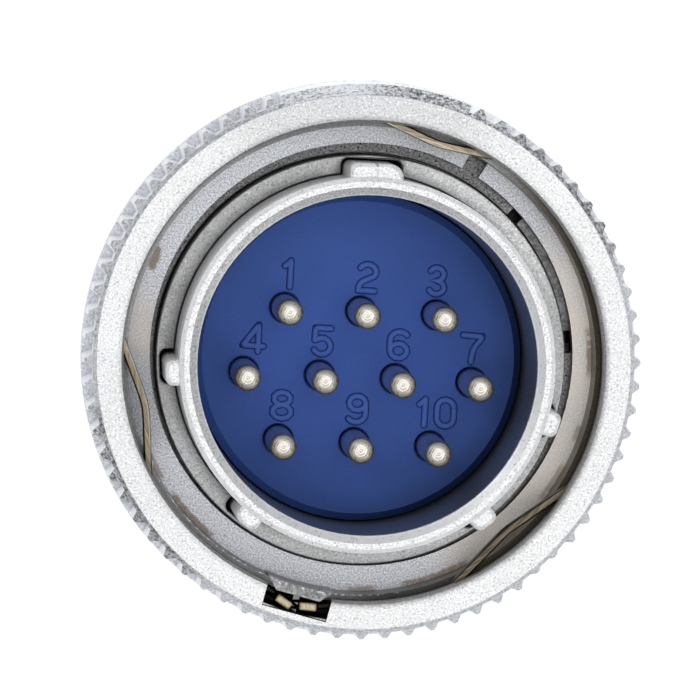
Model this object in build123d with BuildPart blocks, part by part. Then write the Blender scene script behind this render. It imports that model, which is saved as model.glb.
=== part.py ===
from build123d import *
from math import cos, radians, sin
import os

os.makedirs("parts", exist_ok=True)

# Ten-pin cable plug with a sprung coupling ring.
# Millimetres. +Z runs from the cable end to the mating end, and Z = 0 is the rear face of the clamp nut.
# Seen from the mating end, +X is to the right and +Y points at the wide key.

# Contacts and their pattern
PIN_R = 0.78
PIN_PITCH = 4.5
PIN_ROW_STEP = 3.9
PIN_DROP = 1.15
PIN_ROW_COUNTS = (3, 4, 3)
PIN_LENGTH_OUT = 8.0
PIN_NOSE = 0.5
PIN_FIT = 0.05
PIN_COLLAR_R = 1.3
PIN_COLLAR_T = 1.5
PIN_TAIL_R = 1.0
PIN_TAIL_OUT = 4.6
CUP_BORE_R = 0.7
CUP_DEPTH = 3.0
PIN_WELL_R = 0.95
PIN_WELL_DEPTH = 1.0

# Barrel, the tube that enters the socket
BARREL_BORE_R = 9.8
BARREL_WALL = 1.12
BARREL_DRAFT = 0.1
BARREL_RIM_LEAD = 4.0
RIM_CHAMFER = 0.45
RIM_CHAMFER_DEPTH = 0.22
RIM_ROUND = 0.25
FACE_DEPTH = 10.7
KEY_HEIGHT = 0.8
KEY_WIDTH = 1.7
WIDE_KEY_WIDTH = 3.3
WIDE_KEY_ROUND = 0.75
KEY_DRAFT = 0.12
KEY_CORNER = 0.4
KEY_NOSE = 0.18
KEY_SETBACK = 0.5
WIDE_KEY_ANGLE = 90
SMALL_KEY_ANGLES = (185, 235, 310, 345)
KEY_LINE_WIDTH = 0.12
KEY_LINE_DEPTH = 0.28

# Push ring around the barrel
PUSH_GAP = 0.08
PUSH_WALL = 1.02
PUSH_LENGTH = 5.9
PUSH_COLLAR_STEP = 0.7
PUSH_COLLAR_T = 0.7
PUSH_TRAVEL = 2.0
KEYWAY_SIDE_GAP = 0.17
KEYWAY_TURN_ANGLE = -0.4
KEYWAY_TOP_GAP = 0.08
KEYWAY_CORNER = 0.45

# Rings behind the lock spring, with the shell's stop lug
STOP_RING_GAP = 0.18
STOP_RING_WIDTH = 1.44
STOP_RING_T = 2.4
STOP_RING_LINE_ANGLE = 136.8
STOP_RING_LINE_WIDTH = 0.16
STOP_RING_LINE_DEPTH = 0.6
STOP_LUG_START_ANGLE = 12.8
STOP_LUG_SPAN_ANGLE = 30.2
STOP_PLAY_CW_ANGLE = 3.8
STOP_PLAY_CCW_ANGLE = 8.8
STOP_LEDGE_SPAN_ANGLE = 2.8
STOP_LEDGE_DROP = 0.6
SNAP_RING_REVEAL = 0.28
SNAP_RING_T = 1.1
SNAP_GROOVE_STEP = 0.35
SNAP_RING_PLAY = 0.32
SNAP_RING_SHIFT_ANGLE = 66.0
SNAP_GAP_MID_ANGLE = 62.0
SNAP_GAP_SPAN_ANGLE = 5.0
RING_STACK_GAP = 0.1

# Shell behind the barrel
FLANGE_T = 3.4
SPRING_WELL_GAP = 0.05
SPRING_WELL_WALL = 0.83
SPRING_WELL_DEPTH = 3.0
WELL_FLOOR_T = 0.8
TAIL_THREAD_STEP = 0.3
TAIL_THREAD_LENGTH = 8.0
SHELL_SEAL_WIDTH = 1.6
SHELL_SEAL_DEPTH = 0.7
SHELL_TAIL_WALL = 1.4

# Coupling ring
RING_LENGTH = 20.0
RING_WALL = 1.15
RING_FACE_STEP = 0.25
RING_FACE_CHAMFER = 0.3
LIP_STEP = 0.26
LIP_T = 1.1
LIP_CHAMFER = 0.12
LEDGE_T = 2.75
SHOULDER_T = 2.4
GRIP_LENGTH = 9.0
BAND_LENGTH = 2.8
BAND_STEP = 0.2
BAND_CHAMFER = 0.5
SLEEVE_WALL = 1.3
RING_RUN_GAP = 0.08
RING_END_GAP = 0.4

# Grip teeth
TOOTH_COUNT = 72
TOOTH_HEIGHT = 0.45
TOOTH_FRONT_BASE = 0.84
TOOTH_FRONT_CREST = 0.18
TOOTH_REAR_BASE = 1.2
TOOTH_REAR_CREST = 0.58
TOOTH_SETBACK = 0.3
TOOTH_LEAD = 1.0
PAD_SPAN_ANGLE = 40
LOW_TOOTH_ANGLES = (312.5, 317.5)
LOW_TOOTH_DROP = 0.2

# Lock spring, a strip with three inward bows: left, top and low right
STRIP_T = 0.45
STRIP_WIDTH = 1.0
STRIP_SIDE_GAP = 0.15
STRIP_SEAT_GAP = 0.03
STRIP_GROOVE_GAP = 0.15
LEFT_BOW_RISE = 1.33
TOP_BOW_RISE = 0.84
LOW_BOW_RISE = 1.22
BOW_ANGLES = (194.0, 74.0, -47.0)
BOW_HALF_SPAN_ANGLES = (17.5, 14.2, 18.8)
BOW_BEND_R = 5.0

# Window at the lip where the two ends of the strip turn out, each with a tab that stands forward
WINDOW_ANGLE = 257.2
WINDOW_WIDTH = 3.87
POCKET_STEP = 0.55
POCKET_WIDTH = 6.4
HEAD_REVEAL = 0.1
HEAD_ROOT_STEP = 0.3
HEAD_WIDTH = 4.2
HEAD_TIP_WIDTH = 2.6
HEAD_TIP_GAP = 1.0
HEAD_SINK = 0.9
POST_WIDTH = 0.36
POST_SINK = 1.8
TAB_GAP = 0.06
FLAT_TAB_DROP = 0.18
TAB_LENGTH = 1.0
TAB_TILT_ANGLES = (10.0, 20.0)
TAB_SINK = 0.6
TAB_NOTCH_DEPTH = 0.5
END_BEND_ANGLE = 10.5

# Springs
PUSH_WIRE_R = 0.32
PUSH_TURNS = 3.5
RETURN_WIRE_R = 0.28
RETURN_TURNS = 4.25
SPRING_LEG = 1.2
SPRING_BEND_R = 0.5
SPRING_HOLE_GAP = 0.12
SPRING_SEAT_GAP = 0.05

# Insulators and what holds them
INSULATOR_FIT = 0.1
FRONT_FLANGE_T = 4.0
FACE_CHAMFER = 0.45
FACE_CHAMFER_DEPTH = 0.8
REAR_INSULATOR_T = 6.0
GASKET_T = 0.6
CIRCLIP_T = 1.0
CIRCLIP_RISE = 0.6
CIRCLIP_REACH = 1.2
CIRCLIP_GAP_SPAN_ANGLE = 20
CIRCLIP_GROOVE_GAP = 0.05

# Cable clamp
NUT_LENGTH = 18.0
NUT_END_T = 4.0
NUT_WALL = 1.65
NUT_CORNER_STEP = 1.2
NUT_EDGE = 0.9
NUT_GAP = 0.6
CABLE_GAP = 1.4
SLIP_WASHER_T = 1.2
SLIP_WASHER_STEP = 0.4
SEAT_WASHER_T = 1.0
SEAT_WASHER_STEP = 0.6
BUSHING_LENGTH = 10.2
BUSHING_R = 9.6
BUSHING_BORE_R = 5.6
BUSHING_CHAMFER = 0.7
THREAD_GAP = 0.05

# End bell
BELL_LENGTH = 23.0
BELL_SKIRT_STEP = 0.75
BELL_SKIRT_WALL = 1.25
BELL_GRIP_LENGTH = 8.0
BELL_NECK_STEP = 0.7
BELL_SHOULDER_WALL = 1.6
BELL_SEAT_STEP = 1.5
BELL_CABLE_LENGTH = 5.6
BELL_CONE_LENGTH = 5.0
BELL_NOSE_WALL = 1.1
BELL_NOSE_LENGTH = 9.6
BELL_FLAT_DEPTH = 1.0
BELL_FLATS_LENGTH = 6.0
EDGE_BREAK = 0.4

# Levels along the axis, from the cable end to the mating end
slip_washer_z = NUT_END_T
bushing_z = slip_washer_z + SLIP_WASHER_T
seat_washer_z = bushing_z + BUSHING_LENGTH
bell_seat_z = seat_washer_z + SEAT_WASHER_T
bell_shoulder_z = NUT_LENGTH + NUT_GAP
bell_nose_z = bell_shoulder_z - BELL_NOSE_LENGTH
bell_front_z = bell_shoulder_z + BELL_LENGTH
hub_rear_z = bell_front_z
thread_front_z = hub_rear_z - SHELL_SEAL_WIDTH
shell_rear_z = thread_front_z - TAIL_THREAD_LENGTH
ring_rear_z = bell_front_z + RING_END_GAP
ring_front_z = ring_rear_z + RING_LENGTH
rim_z = ring_front_z + BARREL_RIM_LEAD
face_z = rim_z - FACE_DEPTH

# Levels inside the coupling ring, from its front face backwards
lip_rear_z = ring_front_z - LIP_T
strip_front_z = lip_rear_z - STRIP_SIDE_GAP
strip_rear_z = strip_front_z - STRIP_WIDTH
ledge_front_z = strip_rear_z - STRIP_SIDE_GAP
ledge_rear_z = ledge_front_z - LEDGE_T
snap_front_z = ledge_rear_z - RING_STACK_GAP / 2
snap_rear_z = snap_front_z - SNAP_RING_T
stop_front_z = snap_rear_z - RING_STACK_GAP
stop_rear_z = stop_front_z - STOP_RING_T
flange_front_z = stop_rear_z - RING_STACK_GAP
flange_rear_z = flange_front_z - FLANGE_T
shoulder_z = ring_rear_z + SHOULDER_T
band_rear_z = ring_front_z - GRIP_LENGTH
band_front_z = band_rear_z + BAND_LENGTH
tooth_rear_z = band_rear_z + BAND_LENGTH / 2
tooth_front_z = ring_front_z - TOOTH_SETBACK
tooth_lead_z = tooth_front_z - TOOTH_LEAD

# Levels of the push ring, its spring and the insulators
push_collar_z = flange_front_z - PUSH_COLLAR_T
push_front_z = push_collar_z + PUSH_LENGTH
collar_floor_z = push_collar_z - PUSH_TRAVEL - RING_STACK_GAP
well_floor_z = collar_floor_z - SPRING_WELL_DEPTH
bore_step_z = well_floor_z - WELL_FLOOR_T
front_flange_z = bore_step_z - GASKET_T
insulator_split_z = front_flange_z - FRONT_FLANGE_T
rear_insulator_z = insulator_split_z - REAR_INSULATOR_T
circlip_z = rear_insulator_z - RING_STACK_GAP - CIRCLIP_T
key_front_z = rim_z - KEY_SETBACK
key_rear_z = push_collar_z + PUSH_COLLAR_T / 2
pin_tip_z = face_z + PIN_LENGTH_OUT
pin_tail_z = rear_insulator_z - PIN_TAIL_OUT

# Radii outwards from the barrel's bore to the bore of the coupling ring
barrel_r = BARREL_BORE_R + BARREL_WALL
rim_r = barrel_r - BARREL_DRAFT
key_r = barrel_r + KEY_HEIGHT
keyway_r = key_r + KEYWAY_TOP_GAP
push_bore_r = barrel_r + PUSH_GAP
push_r = push_bore_r + PUSH_WALL
push_collar_r = push_r + PUSH_COLLAR_STEP
stop_ring_bore_r = push_r + STOP_RING_GAP
stop_lug_bore_r = stop_ring_bore_r + PIN_FIT
snap_ring_bore_r = stop_ring_bore_r + SNAP_RING_REVEAL
flange_r = stop_ring_bore_r + STOP_RING_WIDTH
ring_bore_r = flange_r + RING_RUN_GAP

# Radii outwards from there to the crests of the grip
lip_r = ring_bore_r + LIP_STEP
strip_base_r = lip_r + STRIP_SEAT_GAP
strip_groove_r = strip_base_r + STRIP_T + STRIP_GROOVE_GAP
snap_groove_r = strip_groove_r + SNAP_GROOVE_STEP
snap_ring_r = snap_groove_r - SNAP_RING_PLAY
pocket_r = strip_groove_r + POCKET_STEP
ring_root_r = strip_groove_r + RING_WALL
ring_face_r = ring_root_r - RING_FACE_STEP
ring_crest_r = ring_root_r + TOOTH_HEIGHT
tooth_sunk_r = ring_root_r - TOOTH_HEIGHT / 2
pad_r = ring_crest_r * cos(radians(180 / TOOTH_COUNT))
band_r = ring_crest_r + BAND_STEP
sleeve_r = ring_bore_r + SLEEVE_WALL
head_r = ring_bore_r - HEAD_REVEAL
head_root_r = head_r - HEAD_ROOT_STEP
head_tip_r = pocket_r - HEAD_TIP_GAP

# Radii of the shell's hub and tail, and of what is inside them
spring_well_r = push_r + SPRING_WELL_GAP
collar_well_r = push_collar_r + INSULATOR_FIT
hub_r = spring_well_r + SPRING_WELL_WALL
shoulder_bore_r = hub_r + RING_RUN_GAP
tail_thread_r = hub_r - TAIL_THREAD_STEP
seal_floor_r = tail_thread_r - SHELL_SEAL_DEPTH
insulator_bore_r = tail_thread_r - SHELL_TAIL_WALL
insulator_nose_r = BARREL_BORE_R - INSULATOR_FIT
insulator_r = insulator_bore_r - INSULATOR_FIT
gasket_bore_r = BARREL_BORE_R + INSULATOR_FIT
circlip_r = insulator_bore_r + CIRCLIP_RISE
circlip_bore_r = insulator_bore_r - CIRCLIP_REACH
circlip_groove_r = circlip_r + CIRCLIP_GROOVE_GAP
push_coil_r = (barrel_r + spring_well_r) / 2
return_coil_r = (hub_r + ring_bore_r) / 2

# Radii of the end bell and the cable clamp
thread_bore_r = tail_thread_r + THREAD_GAP
bell_skirt_r = tail_thread_r + BELL_SKIRT_STEP
bell_r = bell_skirt_r + BELL_SKIRT_WALL
bell_neck_r = bell_r - BELL_NECK_STEP
bell_wall_r = insulator_bore_r + INSULATOR_FIT
bell_nose_bore_r = BUSHING_R + INSULATOR_FIT
bell_cable_r = bell_nose_bore_r - BELL_SEAT_STEP
bell_nose_r = bell_nose_bore_r + BELL_NOSE_WALL
bell_rear_r = bell_nose_r + BELL_SHOULDER_WALL
nut_thread_r = bell_nose_r + THREAD_GAP
nut_flat_r = nut_thread_r + NUT_WALL
nut_round_r = nut_flat_r + NUT_CORNER_STEP
nut_bore_r = BUSHING_BORE_R + CABLE_GAP
slip_washer_r = bell_nose_r - SLIP_WASHER_STEP
seat_washer_bore_r = BUSHING_BORE_R + SEAT_WASHER_STEP

key_angles = (WIDE_KEY_ANGLE,) + SMALL_KEY_ANGLES
key_widths = (WIDE_KEY_WIDTH,) + (KEY_WIDTH,) * len(SMALL_KEY_ANGLES)
key_rounds = (WIDE_KEY_ROUND,) + (KEY_CORNER,) * len(SMALL_KEY_ANGLES)
stop_lug_end_angle = STOP_LUG_START_ANGLE + STOP_LUG_SPAN_ANGLE


def polar(radius, angle):
    """Point in the XY plane at this radius and angle in degrees."""
    return (radius * cos(radians(angle)), radius * sin(radians(angle)))


def turned(z, angle):
    """Level plane at height z whose local X points out along this angle."""
    return Plane(origin=(0, 0, z), x_dir=polar(1, angle) + (0,), z_dir=(0, 0, 1))


def wedge_points(radius, start, end):
    """Corners of a sector from the axis out past this radius, under a half turn wide."""
    reach = radius / cos(radians((end - start) / 2))
    middle_reach = reach / cos(radians((end - start) / 4))
    return ((0, 0), polar(reach, start), polar(middle_reach, (start + end) / 2), polar(reach, end))


pin_places = []
for row, pins_in_row in enumerate(PIN_ROW_COUNTS):
    pin_y = ((len(PIN_ROW_COUNTS) - 1) / 2 - row) * PIN_ROW_STEP - PIN_DROP
    for place in range(pins_in_row):
        pin_places.append(((place - (pins_in_row - 1) / 2) * PIN_PITCH, pin_y))


# Path of the return spring: a coil between the shoulder and the flange, with a leg bent out of each end
coil_rear_z = shoulder_z + SPRING_SEAT_GAP + RETURN_WIRE_R
coil_height = flange_rear_z - SPRING_SEAT_GAP - RETURN_WIRE_R - coil_rear_z
leg_ends = []
with BuildLine() as return_path:
    coil = Helix(coil_height / RETURN_TURNS, coil_height, return_coil_r, center=(0, 0, coil_rear_z))
    for end, way in ((0, -1), (1, 1)):
        ahead = (coil % end) * way
        bend_end = coil @ end + ahead * SPRING_BEND_R + Vector(0, 0, way * SPRING_BEND_R)
        leg_end = bend_end + Vector(0, 0, way * (SPRING_LEG + SPRING_SEAT_GAP + RETURN_WIRE_R - SPRING_BEND_R))
        Spline(coil @ end, bend_end, tangents=(ahead, (0, 0, way)))
        Line(bend_end, leg_end)
        leg_ends.append((leg_end.X, leg_end.Y))
rear_leg, front_leg = leg_ends


# Keys, each a tapered bar with rounded outer corners that is sunk in the barrel wall
key_bars = []
key_root_r = (barrel_r + BARREL_BORE_R) / 2
key_sections = ((key_rear_z, 0), (key_front_z - KEY_NOSE, KEY_DRAFT), (key_front_z, KEY_DRAFT + KEY_NOSE))
for angle, width, clockwise_round in zip(key_angles, key_widths, key_rounds):
    with BuildPart() as key_bar:
        for section_z, inset in key_sections:
            with BuildSketch(turned(section_z, angle)) as key_outline:
                with Locations(((key_root_r + key_r - inset) / 2, 0)):
                    Rectangle(key_r - inset - key_root_r, width - inset * 2)
                fillet(key_outline.vertices().group_by(Axis.X)[-1].sort_by(Axis.Y)[-1], KEY_CORNER)
                fillet(key_outline.vertices().group_by(Axis.X)[-1].sort_by(Axis.Y)[0], clockwise_round)
        loft(ruled=True)
    key_bars.append(key_bar.part)

# Barrel shell: barrel, stepped flange, spring well, hub and rear thread in one casting
with BuildPart() as barrel_shell:
    with BuildSketch(Plane.XZ):
        with BuildLine():
            Polyline(
                (BARREL_BORE_R, bore_step_z),
                (BARREL_BORE_R, rim_z - RIM_CHAMFER_DEPTH),
                (BARREL_BORE_R + RIM_CHAMFER, rim_z),
                (rim_r - RIM_ROUND, rim_z),
                (rim_r, rim_z - RIM_ROUND),
                (barrel_r, push_front_z),
                (barrel_r, well_floor_z),
                (spring_well_r, well_floor_z),
                (spring_well_r, collar_floor_z),
                (collar_well_r, collar_floor_z),
                (collar_well_r, flange_front_z),
                (flange_r, flange_front_z),
                (flange_r, flange_rear_z),
                (hub_r, flange_rear_z),
                (hub_r, hub_rear_z),
                (seal_floor_r, hub_rear_z),
                (seal_floor_r, thread_front_z),
                (tail_thread_r, thread_front_z),
                (tail_thread_r, shell_rear_z + EDGE_BREAK),
                (tail_thread_r - EDGE_BREAK, shell_rear_z),
                (insulator_bore_r, shell_rear_z),
                (insulator_bore_r, circlip_z),
                (circlip_groove_r, circlip_z),
                (circlip_groove_r, circlip_z + CIRCLIP_T + RING_STACK_GAP),
                (insulator_bore_r, circlip_z + CIRCLIP_T + RING_STACK_GAP),
                (insulator_bore_r, bore_step_z),
                close=True,
            )
        make_face()
    revolve(axis=Axis.Z)
    for bar in key_bars:
        add(bar)
    # Parting line down the middle of the wide key
    with BuildSketch(turned(key_rear_z, WIDE_KEY_ANGLE)):
        with Locations((key_r, 0)):
            Rectangle(KEY_LINE_DEPTH * 2, KEY_LINE_WIDTH)
    extrude(amount=key_front_z - key_rear_z, mode=Mode.SUBTRACT)
    with BuildSketch(turned(key_front_z - KEY_NOSE, WIDE_KEY_ANGLE)):
        with Locations(((key_r + rim_r) / 2, 0)):
            Rectangle(key_r - rim_r, KEY_LINE_WIDTH)
    extrude(amount=KEY_NOSE * 2, mode=Mode.SUBTRACT)
    # Stop lug on the flange, with a lower ledge on its clockwise side
    lug_parts = (
        (STOP_LUG_START_ANGLE, stop_lug_end_angle, stop_front_z - RING_STACK_GAP / 2),
        (STOP_LUG_START_ANGLE - STOP_LEDGE_SPAN_ANGLE, STOP_LUG_START_ANGLE, stop_front_z - STOP_LEDGE_DROP),
    )
    for lug_start, lug_end, lug_top_z in lug_parts:
        with BuildSketch(Plane.XY.offset(flange_front_z)):
            Circle(flange_r - PIN_FIT)
            Circle(stop_lug_bore_r, mode=Mode.SUBTRACT)
            Polygon(*wedge_points(flange_r, lug_start, lug_end), align=None, mode=Mode.INTERSECT)
        extrude(amount=lug_top_z - flange_front_z)
    # Hole in the flange for the front leg of the return spring
    with BuildSketch(Plane.XY.offset(flange_rear_z)):
        with Locations(front_leg):
            Circle(RETURN_WIRE_R + SPRING_HOLE_GAP)
    extrude(amount=SPRING_LEG + SPRING_HOLE_GAP, mode=Mode.SUBTRACT)
barrel_shell.part.label = "barrel_shell"
export_step(barrel_shell.part, "parts/barrel_shell.step")

# Front insulator: the face round the pins, and a flange behind the step in the bore
with BuildPart() as front_insulator:
    with BuildSketch(Plane.XZ):
        with BuildLine():
            Polyline(
                (0, insulator_split_z),
                (insulator_r, insulator_split_z),
                (insulator_r, front_flange_z),
                (insulator_nose_r, front_flange_z),
                (insulator_nose_r, face_z - FACE_CHAMFER_DEPTH),
                (insulator_nose_r - FACE_CHAMFER, face_z),
                (0, face_z),
                close=True,
            )
        make_face()
    revolve(axis=Axis.Z)
    with Locations(Plane.XY.offset(face_z)):
        with Locations(*pin_places):
            CounterBoreHole(PIN_R + PIN_FIT, PIN_WELL_R, PIN_WELL_DEPTH)
    with BuildSketch(Plane.XY.offset(insulator_split_z)):
        with Locations(*pin_places):
            Circle(PIN_COLLAR_R + PIN_FIT)
    extrude(amount=PIN_COLLAR_T, mode=Mode.SUBTRACT)
front_insulator.part.label = "front_insulator"
export_step(front_insulator.part, "parts/front_insulator.step")

# Rear insulator: holds the contact collars from behind
with BuildPart() as rear_insulator:
    with BuildSketch(Plane.XY.offset(rear_insulator_z)):
        Circle(insulator_r)
        with Locations(*pin_places):
            Circle(PIN_TAIL_R + PIN_FIT, mode=Mode.SUBTRACT)
    extrude(amount=REAR_INSULATOR_T)
rear_insulator.part.label = "rear_insulator"
export_step(rear_insulator.part, "parts/rear_insulator.step")

# Gasket between the front insulator and the step in the bore
with BuildPart() as insulator_gasket:
    with BuildSketch(Plane.XY.offset(front_flange_z)):
        Circle(insulator_r)
        Circle(gasket_bore_r, mode=Mode.SUBTRACT)
    extrude(amount=GASKET_T)
insulator_gasket.part.label = "insulator_gasket"
export_step(insulator_gasket.part, "parts/insulator_gasket.step")

# Circlip that keeps both insulators in the shell
with BuildPart() as insulator_circlip:
    with BuildSketch(Plane.XY.offset(circlip_z)):
        Circle(circlip_r)
        Circle(circlip_bore_r, mode=Mode.SUBTRACT)
        Polygon(
            *wedge_points(circlip_r, -CIRCLIP_GAP_SPAN_ANGLE / 2, CIRCLIP_GAP_SPAN_ANGLE / 2),
            align=None,
            mode=Mode.SUBTRACT,
        )
    extrude(amount=CIRCLIP_T)
insulator_circlip.part.label = "insulator_circlip"
export_step(insulator_circlip.part, "parts/insulator_circlip.step")

# Contacts: nose, pin, collar, tail and solder cup, turned in one piece
for number, (pin_x, pin_y) in enumerate(pin_places, start=1):
    with BuildPart() as contact_pin:
        with BuildSketch(Plane.XZ.offset(-pin_y)) as pin_profile:
            with BuildLine():
                Polyline(
                    (pin_x, pin_tail_z),
                    (pin_x + PIN_TAIL_R, pin_tail_z),
                    (pin_x + PIN_TAIL_R, insulator_split_z),
                    (pin_x + PIN_COLLAR_R, insulator_split_z),
                    (pin_x + PIN_COLLAR_R, insulator_split_z + PIN_COLLAR_T),
                    (pin_x + PIN_R, insulator_split_z + PIN_COLLAR_T),
                    (pin_x + PIN_R, pin_tip_z),
                    (pin_x, pin_tip_z),
                    close=True,
                )
            make_face()
            pin_nose = pin_profile.vertices().group_by(Axis.Y)[-1].sort_by(Axis.X)[-1]
            fillet(pin_nose, PIN_NOSE)
        revolve(axis=Axis((pin_x, pin_y, 0), (0, 0, 1)))
        with BuildSketch(Plane.XY.offset(pin_tail_z)):
            with Locations((pin_x, pin_y)):
                Circle(CUP_BORE_R)
        extrude(amount=CUP_DEPTH, mode=Mode.SUBTRACT)
        with BuildSketch(Plane.XY.offset(pin_tail_z)):
            with Locations((pin_x, pin_y + PIN_TAIL_R)):
                Rectangle(PIN_TAIL_R * 2, PIN_TAIL_R * 2)
        extrude(amount=CUP_DEPTH / 2, mode=Mode.SUBTRACT)
    contact_pin.part.label = f"contact_pin_{number}"
    export_step(contact_pin.part, f"parts/contact_pin_{number}.step")

# Seal between the shell and the end bell
shell_seal_r = (bell_skirt_r - seal_floor_r) / 2 - PIN_FIT
with BuildPart() as shell_seal:
    with Locations((0, 0, hub_rear_z - SHELL_SEAL_WIDTH / 2)):
        Torus((bell_skirt_r + seal_floor_r) / 2, shell_seal_r)
shell_seal.part.label = "shell_seal"
export_step(shell_seal.part, "parts/shell_seal.step")

# End bell: screws on the shell and takes the cable clamp on its nose
bell_bore_z = shell_rear_z - EDGE_BREAK
bell_cable_z = bell_seat_z + BELL_CABLE_LENGTH
bell_grip_z = bell_front_z - BELL_GRIP_LENGTH
with BuildPart() as end_bell:
    with BuildSketch(Plane.XZ):
        with BuildLine():
            Polyline(
                (bell_nose_bore_r, bell_nose_z),
                (bell_nose_r - EDGE_BREAK, bell_nose_z),
                (bell_nose_r, bell_nose_z + EDGE_BREAK),
                (bell_nose_r, bell_shoulder_z),
                (bell_rear_r - EDGE_BREAK, bell_shoulder_z),
                (bell_rear_r, bell_shoulder_z + EDGE_BREAK),
                (bell_neck_r, bell_grip_z - EDGE_BREAK),
                (bell_r, bell_grip_z + EDGE_BREAK),
                (bell_r, bell_front_z - EDGE_BREAK),
                (bell_r - EDGE_BREAK, bell_front_z),
                (bell_skirt_r, bell_front_z),
                (bell_skirt_r, thread_front_z),
                (thread_bore_r, thread_front_z),
                (thread_bore_r, bell_bore_z),
                (bell_wall_r, bell_bore_z),
                (bell_wall_r, bell_cable_z + BELL_CONE_LENGTH),
                (bell_cable_r, bell_cable_z),
                (bell_cable_r, bell_seat_z),
                (bell_nose_bore_r, bell_seat_z),
                close=True,
            )
        make_face()
    revolve(axis=Axis.Z)
    # Two flats for a wrench
    with BuildSketch(Plane.XY.offset(bell_grip_z - BELL_FLATS_LENGTH / 2)):
        Circle(bell_r * 2)
        Rectangle(bell_r * 4, (bell_r - BELL_FLAT_DEPTH) * 2, mode=Mode.SUBTRACT)
    extrude(amount=BELL_FLATS_LENGTH, mode=Mode.SUBTRACT)
end_bell.part.label = "end_bell"
export_step(end_bell.part, "parts/end_bell.step")

# Washer between the bushing and the seat in the end bell
with BuildPart() as seat_washer:
    with BuildSketch(Plane.XY.offset(seat_washer_z)):
        Circle(BUSHING_R)
        Circle(seat_washer_bore_r, mode=Mode.SUBTRACT)
    extrude(amount=SEAT_WASHER_T)
seat_washer.part.label = "seat_washer"
export_step(seat_washer.part, "parts/seat_washer.step")

# Rubber bushing that grips the cable
with BuildPart() as cable_bushing:
    with BuildSketch(Plane.XY.offset(bushing_z)):
        Circle(BUSHING_R)
        Circle(BUSHING_BORE_R, mode=Mode.SUBTRACT)
    extrude(amount=BUSHING_LENGTH)
    rims = cable_bushing.edges().filter_by(GeomType.CIRCLE)
    chamfer(rims.group_by(lambda rim: rim.radius)[-1], BUSHING_CHAMFER)
cable_bushing.part.label = "cable_bushing"
export_step(cable_bushing.part, "parts/cable_bushing.step")

# Slip washer between the bushing and the nut
with BuildPart() as slip_washer:
    with BuildSketch(Plane.XY.offset(slip_washer_z)):
        Circle(slip_washer_r)
        Circle(nut_bore_r, mode=Mode.SUBTRACT)
    extrude(amount=SLIP_WASHER_T)
slip_washer.part.label = "slip_washer"
export_step(slip_washer.part, "parts/slip_washer.step")

# Clamp nut: hexagon with turned corners
with BuildPart() as clamp_nut:
    with BuildSketch():
        RegularPolygon(nut_flat_r, 6, major_radius=False)
    extrude(amount=NUT_LENGTH)
    with BuildSketch(Plane.XZ):
        with BuildLine():
            Polyline(
                (0, 0),
                (nut_flat_r - NUT_EDGE, 0),
                (nut_round_r, NUT_EDGE * 2),
                (nut_round_r, NUT_LENGTH - NUT_EDGE),
                (nut_flat_r - NUT_EDGE / 2, NUT_LENGTH),
                (0, NUT_LENGTH),
                close=True,
            )
        make_face()
    revolve(axis=Axis.Z, mode=Mode.INTERSECT)
    with BuildSketch():
        Circle(nut_bore_r)
    extrude(amount=NUT_LENGTH, mode=Mode.SUBTRACT)
    with BuildSketch(Plane.XY.offset(NUT_END_T)):
        Circle(nut_thread_r)
    extrude(amount=NUT_LENGTH, mode=Mode.SUBTRACT)
clamp_nut.part.label = "clamp_nut"
export_step(clamp_nut.part, "parts/clamp_nut.step")


# Grip teeth: a full one and a low one, both wider and higher towards the rear and sloping at the front
tooth_slope = Plane(origin=(tooth_sunk_r, 0, tooth_front_z), z_dir=(TOOTH_LEAD, 0, TOOTH_HEIGHT * 1.5))


def tooth_bar(drop):
    """One tooth along +X, lower than a full one by this drop."""
    with BuildPart() as bar:
        ends = (
            (tooth_rear_z, band_r - drop, TOOTH_REAR_BASE / 2, TOOTH_REAR_CREST / 2),
            (tooth_front_z, ring_crest_r - drop, TOOTH_FRONT_BASE / 2, TOOTH_FRONT_CREST / 2),
        )
        for end_z, crest_r, base, crest in ends:
            with BuildSketch(Plane.XY.offset(end_z)):
                with BuildLine():
                    Polyline(
                        (tooth_sunk_r, -base),
                        (ring_root_r, -base),
                        (crest_r, -crest),
                        (crest_r, crest),
                        (ring_root_r, base),
                        (tooth_sunk_r, base),
                        close=True,
                    )
                make_face()
        loft(ruled=True)
        split(bisect_by=tooth_slope, keep=Keep.BOTTOM)
    return bar.part


full_tooth = tooth_bar(0)
low_tooth = tooth_bar(LOW_TOOTH_DROP)
tooth_pitch = 360 / TOOTH_COUNT
tooth_angles = [(step + 0.5) * tooth_pitch for step in range(TOOTH_COUNT)]
grip_angles = [a for a in tooth_angles if abs(a - WIDE_KEY_ANGLE) > PAD_SPAN_ANGLE / 2]

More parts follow.
